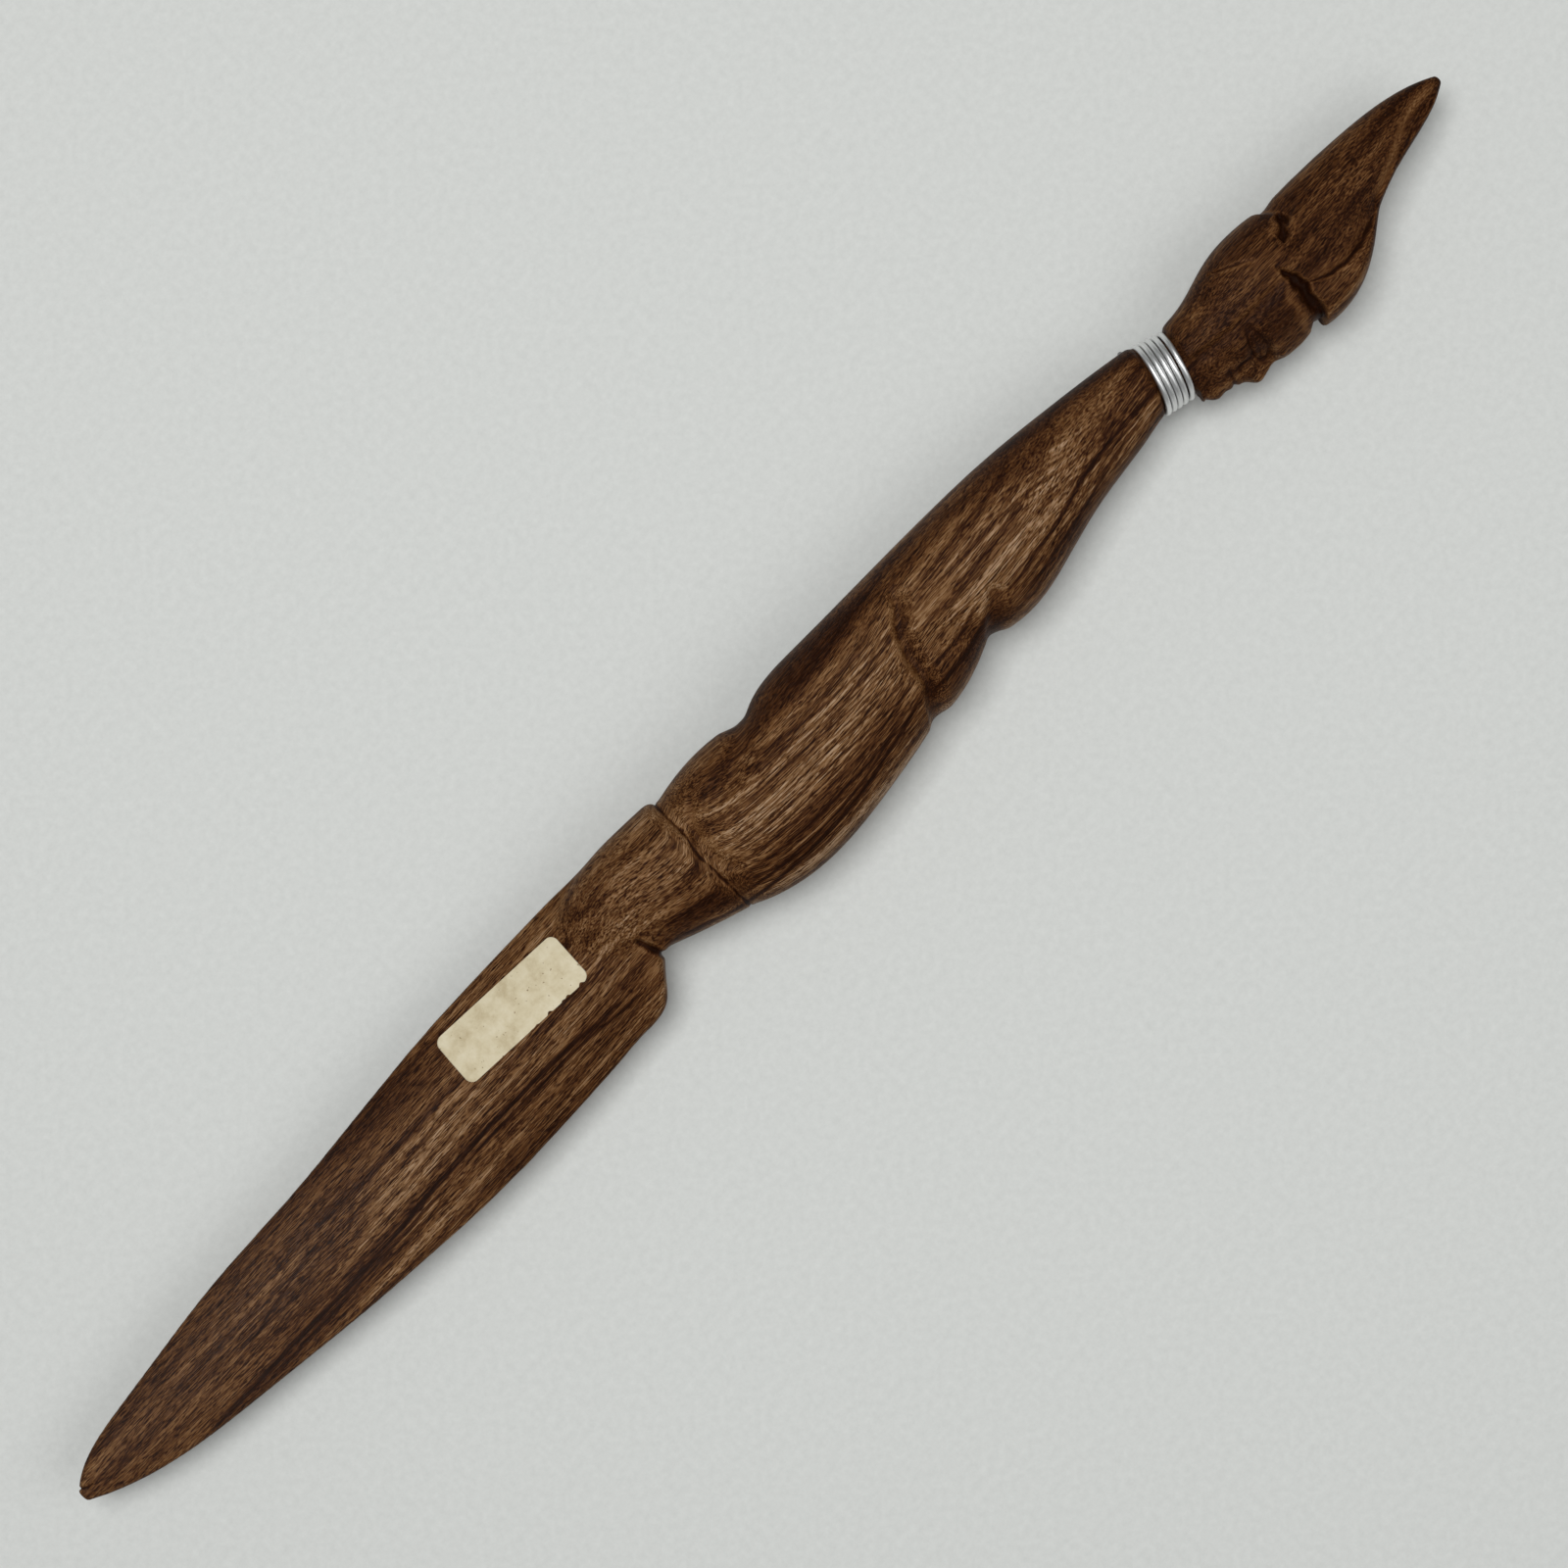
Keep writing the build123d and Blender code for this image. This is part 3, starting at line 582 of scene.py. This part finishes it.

# Darker and paler stretches of the stick: middle along and aside, reach along and aside, and the
# change there as a power of e. The stretch at the neck is painted shade: it darkens the wood under the
# winding and the shoulder's edge beside it
WOOD_TONES_AND_NECK_SHADE = [
    (169.5, -7.0, 10.0, 5.5, -0.6),
    (154.0, 8.0, 24.0, 5.5, -1.2),
    (133.0, 6.0, 9.0, 5.0, -0.55),
    (144.0, -12.4, 24.0, 2.6, 0.45),
    (119.0, -6.0, 10.0, 4.0, -0.4),
    (119.0, -9.4, 9.0, 2.4, 0.5),
    (194.0, -1.0, 26.0, 9.0, 0.25),
    (202.0, -7.0, 28.0, 6.0, -0.25),
    (200.0, 8.0, 36.0, 6.0, -0.9),
    # painted shade: the neck under the wire and the shoulder's edge beside it, darkened as in the winding's
    # shade
    (219.0, 0.0, 8.5, 9.0, -1.2),
    (243.0, -1.0, 36.0, 26.0, -0.95),
    (246.0, -9.5, 10.0, 5.0, 0.7),
    (252.0, 0.5, 10.0, 7.0, 0.15),
    (228.0, 1.5, 6.0, 6.0, -0.25),
    (270.0, 0.0, 16.0, 8.0, -0.9),
    (18.0, 0.0, 40.0, 14.0, -0.7),
    (62.0, 7.0, 40.0, 6.0, -0.7),
    (75.0, -8.5, 45.0, 5.0, 0.3),
]

# Thigh: one long mound from the hem to the crease over the belly, behind it the smaller buttock, over
# whose stretches aside and along the mound fades out
MOUND_START = 127.0
MOUND_END = 172.0
MOUND_ROUND = 9.0
MOUND_DEPTH = 8.42
MOUND_END_DEPTH = 6.9
MOUND_SQUARENESS = 2.3
MOUND_CREST = (133.0, -1.0)
MOUND_CREST_SLOPE = -0.06
MOUND_BACK = [(127.0, 2.0), (130.0, 3.4), (134.0, 4.8), (138.0, 6.8), (142.3, 9.0)]
CREASE_SLOPE = 3.0
CREASE_BACK = 3.0
BUTTOCK_BLEND = (1.0, 6.0)
BUTTOCK_FADE = (150.0, 168.0)

# Headdress: how square its front half is, and where along the stick that comes and goes
HEADDRESS_SQUARENESS = 4.0
HEADDRESS_RISE = (253.0, 260.0)
HEADDRESS_FALL = (270.0, 274.5)

# Heel of the blade: middle of its corner, how far it is filled out, and which way
HEEL = (106.0, -10.8)
HEEL_REACH = 4.8
HEEL_FILL = 0.75
HEEL_WAY = (0.55, -0.83)

# Shoulder: its end stands this much nearer the head than the groove's end in the solid, and the draw
# comes and goes over these stretches before and after the neck
SHOULDER_DRAW = 1.6
SHOULDER_RISE = (-18.0, -1.0)
SHOULDER_FALL = (0.5, 4.2)

# Face of plain, even proportions: its lean, and by height from the chin the reach of the bare mask,
# of the features on its middle line, half their width, and the mask's half depth
FACE_LEAN = math.radians(8.0)
FACE_LENGTH = HAIRLINE - JAW
FACE_AXIS = NECK_ASIDE - (JAW - NECK) * math.tan(NECK_LEAN)
FACE_SQUARENESS = 1.7
FACE_MASK = [(-1.5, 4.6), (0.0, 6.0), (2.0, 6.7), (6.0, 7.0), (10.0, 7.3), (13.0, 8.2), (17.6, 7.8)]
FACE_PROFILE = [(-1.5, 4.6), (-0.3, 6.4), (0.8, 7.3), (1.6, 7.3), (2.5, 6.9), (3.3, 7.4), (3.95, 7.2),
                (4.6, 7.6), (5.4, 7.5), (6.4, 8.7), (7.2, 9.1), (8.0, 8.8), (10.2, 7.9), (12.2, 8.5),
                (15.0, 8.4), (17.6, 7.8)]
FACE_FEATURES = [(0.0, 3.0), (2.2, 2.6), (3.2, 3.0), (4.7, 3.0), (5.5, 2.6), (6.4, 2.4), (7.5, 1.8),
                 (10.2, 1.4), (12.0, 3.5)]
FACE_DEPTH = [(-1.5, 4.2), (0.5, 4.2), (2.0, 4.7), (4.0, 5.2), (6.0, 5.7), (8.0, 6.0), (10.0, 6.2),
              (13.0, 6.6), (17.2, 6.9)]

# How far the face's corners are rounded, the angles from its middle where it fades into the head, the
# widest angle that is carved, and the rounds of carving
FACE_ROUNDING = 0.55
FACE_EDGE = (math.radians(68), math.radians(88))
FACE_SIDE = math.radians(89)
FACE_ROUNDS = 12

# Features of the face: their height from the chin and place aside, then how far they stand or lie
MOUTH = 3.95
NOSE_BASE = 6.1
EYE_LEVEL = 9.3
EYE_ASIDE = 3.3
EYE_HALF_HEIGHT = 1.05
EYE_HALF_WIDTH = 1.9
MOUTH_CORNER = (2.6, 3.5)
BROW = 11.6
WING_RISE = 0.6
SOCKET_DEPTH = 1.4
EYEBALL_RISE = 1.15
BROW_RISE = 0.55
CHEEK_RISE = 0.5
FACE_LINE_DEPTH = 0.5
FACE_LINE_DIRT = 0.9


def shoulder_drawn(points):
    """The torso's end drawn along the neck, up to the winding."""
    along, aside = points.T[:2]
    past_neck = along - (aside - NECK_ASIDE) * math.tan(NECK_LEAN) - NECK
    pull = ease(past_neck, *SHOULDER_RISE) * (1 - ease(past_neck, *SHOULDER_FALL))
    return points + np.column_stack([SHOULDER_DRAW * pull, 0 * pull, 0 * pull])


def heel_rounded(points):
    """The corner of the blade's heel filled out to a full round."""
    along, aside = points.T[:2]
    push = HEEL_FILL * hump(np.hypot(along - HEEL[0], aside - HEEL[1]), 0, HEEL_REACH)
    return points + np.column_stack([HEEL_WAY[0] * push, HEEL_WAY[1] * push, 0 * push])


def most_beside(along, values):
    """The greatest of these values in the half millimetre of the stick that each place is in."""
    slot = np.round(along * 2).astype(int)
    slot = slot - slot.min()
    most = np.full(slot.max() + 1, -np.inf)
    np.maximum.at(most, slot, values)
    return most[slot]


def reach_of_outline(along, aside):
    """The figure's back and front outline beside each place."""
    return most_beside(along, aside), -most_beside(along, -aside)


def thigh_filled(points):
    """The thigh raised to one smooth mound, from the hem to the crease over the belly."""
    along, aside, high = points.T
    back, front = reach_of_outline(along, aside)
    mound_along, mound_back = np.transpose(MOUND_BACK)
    back = np.where(along < mound_along[-1], np.interp(along, mound_along, mound_back), back)
    crest = MOUND_CREST[1] + MOUND_CREST_SLOPE * (along - MOUND_CREST[0])
    half = np.where(aside > crest, back - crest, crest - front)
    share = np.clip(np.abs(aside - crest) / half, 0, 1)
    section = (1 - share ** MOUND_SQUARENESS) ** (1 / MOUND_SQUARENESS)
    start = np.clip((along - MOUND_START) / MOUND_ROUND, 0, 1)
    depth = MOUND_END_DEPTH + (MOUND_DEPTH - MOUND_END_DEPTH) * np.sqrt(1 - (1 - start) ** 2)
    off, side, _ = from_line(along, aside, BELLY_CREASE)
    before_crease = (side < 0) | (aside > CREASE_BACK)
    within = (along > MOUND_START) & (along < MOUND_END) & before_crease
    rise = np.clip(depth * section - np.abs(high), 0, None) * within
    behind = ease(aside, *BUTTOCK_BLEND)
    rise *= behind * (1 - ease(along, *BUTTOCK_FADE)) + (1 - behind) * ease(off, 0, CREASE_SLOPE)
    return np.column_stack([along, aside, np.clip(high + np.sign(high) * rise, -MIDDLE_LAYER, None)])


def headdress_squared(points):
    """The headdress's front half filled out to a flat top and a steep front face."""
    along, aside, high = points.T
    back, front = reach_of_outline(along, aside)
    crest = (back + front) / 2
    depth = most_beside(along, np.abs(high))
    share = np.clip((crest - aside) / (crest - front), 0, 1)
    section = (1 - share ** HEADDRESS_SQUARENESS) ** (1 / HEADDRESS_SQUARENESS)
    within = ease(along, *HEADDRESS_RISE) * (1 - ease(along, *HEADDRESS_FALL)) * (aside < crest)
    rise = np.clip(depth * section - np.abs(high), 0, None) * within
    return np.column_stack([along, aside, high + np.sign(high) * rise])


def by_height(up, drawn):
    """A value drawn by height on the face, its corners rounded."""
    heights, values = np.transpose(drawn)
    spread = np.linspace(-1, 1, 9) * FACE_ROUNDING
    return np.mean([np.interp(up + shift, heights, values) for shift in spread], axis=0)


def on_face(points):
    """Places on the figure as height from the chin, reach from the face's axis, and across."""
    along, aside, high = points.T
    up = (along - JAW) * math.cos(FACE_LEAN) - (aside - FACE_AXIS) * math.sin(FACE_LEAN)
    reach = -(along - JAW) * math.sin(FACE_LEAN) - (aside - FACE_AXIS) * math.cos(FACE_LEAN)
    return up, reach, high


def from_eye(up, across):
    """Distance from the middle of an almond eye, 1 on its lids."""
    return np.hypot((up - EYE_LEVEL) / EYE_HALF_HEIGHT, (np.abs(across) - EYE_ASIDE) / EYE_HALF_WIDTH)


def face_lines(up, across):
    """0 to 1: how near each place is to the knife's lines round the lids, nostrils and mouth."""
    beside = np.abs(across)
    mouth = hump(up, MOUTH + 0.05 * beside, 0.45) * (1 - ease(beside, *MOUTH_CORNER))
    eye = from_eye(up, across)
    lids = hump(eye, 1.15, 0.3) + 0.8 * hump(up, EYE_LEVEL - 0.15, 0.35) * (1 - ease(eye, 0.8, 1.1))
    wing = np.hypot((up - NOSE_BASE - 0.5) / 1.2, (beside - 1.2) / 1.5)
    nostril = hump(wing, 1.2, 0.35) * ease(beside, 1.6, 2.2)
    return np.maximum.reduce([mouth, np.clip(lids, 0, 1), nostril])


def face_relief(up, across):
    """How far the brow, eyes, nose, lips and chin stand out from the face's bare mask."""
    beside = np.abs(across)
    relief = by_height(up, FACE_PROFILE) - by_height(up, FACE_MASK)
    relief *= 1 - ease(beside / by_height(up, FACE_FEATURES), 0.2, 1.0)
    relief += WING_RISE * hump(up, NOSE_BASE + 0.4, 1.3) * hump(beside, 1.7, 1.0)
    relief -= SOCKET_DEPTH * hump(up, EYE_LEVEL, 2.5) * hump(beside, EYE_ASIDE - 0.2, 2.7)
    relief += EYEBALL_RISE * np.sqrt(np.clip(1 - from_eye(up, across) ** 2, 0, 1))
    brow_span = ease(beside, 0.8, 1.8) * (1 - ease(beside, 4.2, 5.8))
    relief += BROW_RISE * hump(up, BROW - 0.1 * beside, 1.3) * brow_span
    relief += CHEEK_RISE * hump(up, NOSE_BASE + 0.8, 2.8) * hump(beside, 4.4, 2.0)
    return relief - FACE_LINE_DEPTH * face_lines(up, across)


def face_carved(points, edges):
    """The front of the head brought to a calm, plain face."""
    for step in range(FACE_ROUNDS):
        up, reach, across = on_face(points)
        relief = face_relief(up, across)
        angle = np.minimum(np.arctan2(np.abs(across), reach - relief), FACE_SIDE)
        within = ease(up, -0.9, 0.3) * (1 - ease(up, FACE_LENGTH - 1.0, FACE_LENGTH + 0.2))
        within *= 1 - ease(angle, *FACE_EDGE)
        across_share = np.cos(angle) / by_height(up, FACE_MASK)
        depth_share = np.sin(angle) / by_height(up, FACE_DEPTH)
        radius = (across_share ** FACE_SQUARENESS + depth_share ** FACE_SQUARENESS) ** (-1 / FACE_SQUARENESS)
        move_reach = within * (radius * np.cos(angle) + relief - reach)
        move_across = within * (radius * np.sin(angle) * np.sign(across) - across)
        points = points + np.column_stack([
            -math.sin(FACE_LEAN) * move_reach, -math.cos(FACE_LEAN) * move_reach, move_across])
        if step < FACE_ROUNDS - 1:
            points = rubbed_down(points, edges, RUB_STRENGTH * within, LAST_RUB_ROUNDS)
    return points


def knife_wander(along, aside):
    """An uneven hand, from -1 to 1, over the figure's side."""
    return (0.5 * np.sin(1.7 * along + 1.3 * aside) + 0.3 * np.sin(2.9 * aside - 1.1 * along)
            + 0.2 * np.sin(5.1 * along - 3.7 * aside))


def from_cut(points, line, left, right, wander, opening):
    """Distance from a cut's bottom as a share of its reach there, and the share gone along it."""
    along, aside = points.T[:2]
    off, side, gone = from_line(along, aside, line)
    off = np.clip(off + wander * knife_wander(along, aside), 0, None)
    opened = 1.0
    if opening:
        opened = CUT_START + (1 - CUT_START) * ease(gone, 0, opening)
        opened = opened * (1 - (1 - CUT_END) * ease(gone, 1 - opening / 2, 1))
    return off / (np.where(side > 0, left, right) * opened), gone


def in_valley(points, line, left, right):
    """0 to 1: how near each place is to the bottom of a valley, which runs out at its ends."""
    share, gone = from_cut(points, line, left, right, VALLEY_WANDER, 0.0)
    return ease(gone, 0, VALLEY_ENDS) * (1 - ease(gone, 1 - VALLEY_ENDS, 1)) * (1 - ease(share, 0, 1))


def carved_in(points):
    """How far valleys and knife cuts move each place of the surface in, in millimetres."""
    moved = np.zeros(len(points))
    for line, left, right, depth, _ in VALLEYS:
        moved -= depth * in_valley(points, line, left, right)
    for line, left, right, depth, wander, opening in CUTS:
        share, _ = from_cut(points, line, left, right, wander, opening)
        moved -= depth * np.clip(CUT_STEEPNESS * (1 - share), 0, 1)
    return moved


def wood_tone_and_neck_shade(points):
    """How much paler or darker than the rest each place of the stick is, with painted shade round the neck
    under the winding.
    """
    along, aside = points.T[:2]
    change = np.zeros(len(points))
    for middle, middle_aside, reach, reach_aside, most in WOOD_TONES_AND_NECK_SHADE:
        change += most * hump(np.hypot((along - middle) / reach, (aside - middle_aside) / reach_aside), 0, 1)
    return np.exp(change)


def dirt_and_painted_shade(points):
    """0 to 1: how dark the cuts and valleys are painted: wax and dirt packed in them, and painted shade in
    the hollows.
    """
    dirt = np.zeros(len(points))
    for line, left, right, _, wander, opening in CUTS:
        share, _ = from_cut(points, line, left, right, wander, opening)
        dirt = np.maximum(dirt, 1 - ease(share, 0.3, 1.0))
    for line, left, right, _, dark in VALLEYS:
        dirt = np.maximum(dirt, dark * ease(in_valley(points, line, left, right), 0.2, 1.0))
    up, reach, across = on_face(points)
    below_hair = 1 - ease(up, FACE_LENGTH - 3, FACE_LENGTH - 1)
    face_front = ease(reach, 1.0, 3.0) * ease(up, -1.0, 1.0) * below_hair
    return np.maximum(dirt, FACE_LINE_DIRT * face_front * face_lines(up, across))


def rubbed_pale(points):
    """0 to 1: how far handling has rubbed the surface pale."""
    along, aside = points.T[:2]
    pale = np.zeros(len(points))
    for line, left, right, _, wander, opening in CUTS:
        share, _ = from_cut(points, line, left, right, wander, opening)
        pale = np.maximum(pale, RIM_PALENESS * hump(share, 1.4, 0.5))
    for line, width, most in PALE_PLACES:
        off, _, gone = from_line(along, aside, line)
        ends = ease(gone, 0, PALE_ENDS) * (1 - ease(gone, 1 - PALE_ENDS, 1))
        pale = np.maximum(pale, most * ends * hump(off, 0, width))
    return pale


def surface_of(piece):
    """A mesh's vertices as places on the figure, and its edges."""
    edges = np.empty(len(piece.data.edges) * 2, np.int32)
    piece.data.edges.foreach_get("vertices", edges)
    return to_figure(read_vectors(piece.data.vertices, "co")), edges.reshape(-1, 2)


def spared(points):
    """0 to 1: how far rubbing spares each place: the tip, the crown, the neck's groove and the blade's
    thin edge, but not the heel's round."""
    along, aside, high = points.T
    ends = np.maximum(1 - ease(along, 2, 12), ease(along, LENGTH - 8, LENGTH - 2))
    groove = hump(along, (NECK + JAW) / 2, 7.5)
    heel = hump(along, STEP - 10, 9) * ease(-aside, 7, 10)
    edge = (1 - ease(np.abs(high), 0.4, 1.6)) * (1 - ease(along, STEP - 6, STEP)) * (1 - heel)
    return np.maximum.reduce([ends, groove, edge])


def carved_body(material):
    """Blade and figure in one piece of wood, with the knife's flats rubbed round and its cuts sharp."""
    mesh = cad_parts["carved_body"].data.copy()
    welded = bmesh.new()
    welded.from_mesh(mesh)
    bmesh.ops.remove_doubles(welded, verts=welded.verts, dist=WELD * MM)
    welded.to_mesh(mesh)
    welded.free()
    piece = shown("opener_body", mesh, material)
    with_modifier(piece, "REMESH", mode="VOXEL", voxel_size=MESH_SIZE * MM)

    points, edges = surface_of(piece)
    points = headdress_squared(thigh_filled(shoulder_drawn(heel_rounded(points))))
    strength = RUB_STRENGTH * (1 - KEEN_SHARE * spared(points))
    points = rubbed_down(points, edges, strength, RUB_ROUNDS)
    place_vertices(piece.data, face_carved(points, edges))
    with_modifier(piece, "REMESH", mode="VOXEL", voxel_size=MESH_SIZE * MM)

    points, edges = surface_of(piece)
    last_strength = np.full(len(points), LAST_RUB_STRENGTH)
    points = rubbed_down(points, edges, last_strength, LAST_RUB_ROUNDS)
    place_vertices(piece.data, points)
    normals = read_vectors(piece.data.vertex_normals, "vector")
    points = points + normals * carved_in(points)[:, None]
    points = rubbed_down(points, edges, last_strength, LAST_RUB_ROUNDS)
    points[:, 2] = np.maximum(points[:, 2], REST_GAP - MIDDLE_LAYER)
    place_vertices(piece.data, points)

    fine = piece.vertex_groups.new(name="kept_fine")
    marked = np.maximum(dirt_and_painted_shade(points), rubbed_pale(points)) > LEAST_MARK
    fine.add(np.flatnonzero(marked).tolist(), 1.0, "REPLACE")
    triangles = 2 * len(piece.data.polygons)
    with_modifier(piece, "DECIMATE", ratio=min(1.0, MOST_TRIANGLES / triangles),
                  vertex_group="kept_fine", invert_vertex_group=True)
    points, _ = surface_of(piece)
    # Marks that the shader reads: tone with the neck's painted shade, dirt and painted shade in the hollows,
    # and rubbed wear
    marks = {"tone_and_shade": wood_tone_and_neck_shade, "dirt_and_shade": dirt_and_painted_shade, "rubbed": rubbed_pale}
    for name, mark in marks.items():
        attribute = piece.data.attributes.new(name, "FLOAT", "POINT")
        attribute.data.foreach_set("value", mark(points).astype(np.float32))
    piece.vertex_groups.clear()
    piece.data.shade_smooth()
    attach(piece, "root")
    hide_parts("carved_body")
    return piece


def wire_place(turns):
    """Centre of the wire, and the way out from the neck there, after some turns from the back."""
    slip = TAIL_SLIP * (1 - ease(turns, 0, TAIL_TURNS)) - LAST_TURN_GAP * ease(turns, *LAST_TURN)
    advance = WIRE_START + WIRE_PITCH * turns - slip
    lift = TAIL_LIFT * (1 - ease(turns, 0, TAIL_TURNS))
    radius = NECK_RADIUS - advance * NECK_SLOPE + WIRE / 2 + lift
    angle = -math.tau * turns
    outward = Vector((math.sin(NECK_LEAN) * math.cos(angle),
                      math.cos(NECK_LEAN) * math.cos(angle),
                      math.sin(angle)))
    axis = Vector((math.cos(NECK_LEAN), -math.sin(NECK_LEAN), 0))
    centre = Vector((NECK, NECK_ASIDE, 0)) + axis * advance + outward * radius
    return centre, outward


def collar_wire(material):
    """One length of wire wound five turns into the neck's groove, its cut end standing at the back."""
    steps = round(WIRE_TURNS * WIRE_STEPS)
    shape = bmesh.new()
    turn_layer = shape.loops.layers.uv.new("along_wire")
    rings = []
    for step in range(steps + 1):
        centre, outward = wire_place(step / WIRE_STEPS)
        ahead = wire_place((step + 1) / WIRE_STEPS)[0] - wire_place((step - 1) / WIRE_STEPS)[0]
        across = ahead.cross(outward).normalized()
        ring = []
        for side in range(WIRE_SIDES):
            angle = math.tau * side / WIRE_SIDES
            place = centre + (outward * math.cos(angle) + across * math.sin(angle)) * (WIRE / 2)
            ring.append(shape.verts.new(to_frame(*place)))
        rings.append(ring)
    for step, (ring, following) in enumerate(zip(rings, rings[1:])):
        for side in range(WIRE_SIDES):
            after = (side + 1) % WIRE_SIDES
            face = shape.faces.new((ring[side], ring[after], following[after], following[side]))
            corners = ((step, side), (step, side + 1), (step + 1, side + 1), (step + 1, side))
            for loop, (wire_step, wire_side) in zip(face.loops, corners):
                loop[turn_layer].uv = (wire_step / WIRE_STEPS, wire_side / WIRE_SIDES)
    for ring in (rings[0], rings[-1]):
        shape.faces.new(ring)
    bmesh.ops.recalc_face_normals(shape, faces=shape.faces)
    mesh = bpy.data.meshes.new("collar_wire")
    shape.to_mesh(mesh)
    shape.free()
    piece = shown("collar_wire", mesh, material)
    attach(piece, "root")
    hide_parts("neck_wire")
    return piece


def label_sheet(material, body):
    """Blank paper label that follows the blade's upper face, its corners round and one edge nibbled."""
    under = BVHTree.FromObject(body, bpy.context.evaluated_depsgraph_get())
    above = HIGH.z / MM
    lengthwise = Vector((math.cos(LABEL_TILT), math.sin(LABEL_TILT)))
    crosswise = Vector((-math.sin(LABEL_TILT), math.cos(LABEL_TILT)))
    shape = bmesh.new()
    grid = []
    for row in range(LABEL_ROWS + 1):
        turn = math.pi * row / LABEL_ROWS
        across = -math.cos(turn) * LABEL_WIDTH / 2
        into_corner = max(0.0, abs(across) - (LABEL_WIDTH / 2 - LABEL_CORNER))
        pulled_in = LABEL_CORNER - math.sqrt(max(0.0, LABEL_CORNER ** 2 - into_corner ** 2))
        half = LABEL_LENGTH / 2 - pulled_in
        line = []
        for column in range(LABEL_COLUMNS + 1):
            along = half * (2 * column / LABEL_COLUMNS - 1)
            nibble = LABEL_NIBBLE * max(0.0, math.sin(along * 2.1) + 0.6 * math.sin(along * 5.3 + 1.0))
            nibbled = nibble * float(ease(along, -1.0, 3.0)) * float(ease(-across, 1.5, LABEL_WIDTH / 2))
            place = Vector(LABEL_MIDDLE) + lengthwise * along + crosswise * (across + nibbled)
            hit = under.ray_cast(to_frame(*place, above), Vector((0, 0, -1)))[0]
            line.append(shape.verts.new(hit + Vector((0, 0, LABEL_GLUE * MM))))
        grid.append(line)
    for lower, upper in zip(grid, grid[1:]):
        for column in range(LABEL_COLUMNS):
            shape.faces.new((lower[column], lower[column + 1], upper[column + 1], upper[column]))
    mesh = bpy.data.meshes.new("label_sheet")
    shape.to_mesh(mesh)
    shape.free()
    piece = shown("label_sheet", mesh, material)
    with_modifier(piece, "SOLIDIFY", thickness=LABEL_PAPER * MM, offset=1.0)
    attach(piece, "root")
    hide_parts("paper_label")
    return piece


def board_floor(material):
    """A wide board that the opener lies on."""
    half = 1.2
    corners = [(-half, -half, 0), (half, -half, 0), (half, half, 0), (-half, half, 0)]
    mesh = bpy.data.meshes.new("board")
    mesh.from_pydata(corners, [], [(0, 1, 2, 3)])
    shown("board", mesh, material)


def soft_lamp(name, place, size, power):
    """A square soft box that faces the opener."""
    lamp = bpy.data.lights.new(name, "AREA")
    lamp.size = size
    lamp.energy = power
    holder = bpy.data.objects.new(name, lamp)
    holder.location = place
    holder.rotation_euler = (-Vector(place)).to_track_quat("-Z", "Y").to_euler()
    bpy.context.scene.collection.objects.link(holder)


def studio():
    """A dim even room, one soft box overhead towards the back, a fill, and a camera straight above."""
    scene = bpy.context.scene
    scene.view_settings.view_transform = "Standard"
    world = bpy.data.worlds.new("studio_room")
    world.use_nodes = True
    room = world.node_tree.nodes["Background"]
    room.inputs["Color"].default_value = linear("#eef0f0")
    room.inputs["Strength"].default_value = 0.18
    scene.world = world
    soft_lamp("box_overhead", place=(-0.05, 0.2, 0.95), size=0.5, power=6.6)
    soft_lamp("box_front", place=(0.4, -0.5, 0.8), size=0.7, power=2.4)
    camera = bpy.data.cameras.new("overhead")
    camera.sensor_width = SENSOR
    camera.lens = SENSOR * CAMERA_HEIGHT / PICTURE_WIDTH
    holder = bpy.data.objects.new("overhead", camera)
    holder.location = Vector((CAMERA_ALONG, CAMERA_ASIDE, MIDDLE_LAYER + CAMERA_HEIGHT)) * MM
    holder.rotation_euler = (0, 0, CAMERA_TURN)
    scene.collection.objects.link(holder)
    scene.camera = holder


body = carved_body(waxed_hardwood())
collar_wire(drawn_aluminium())
label_sheet(aged_label_paper(), body)
board_floor(pale_board())
studio()
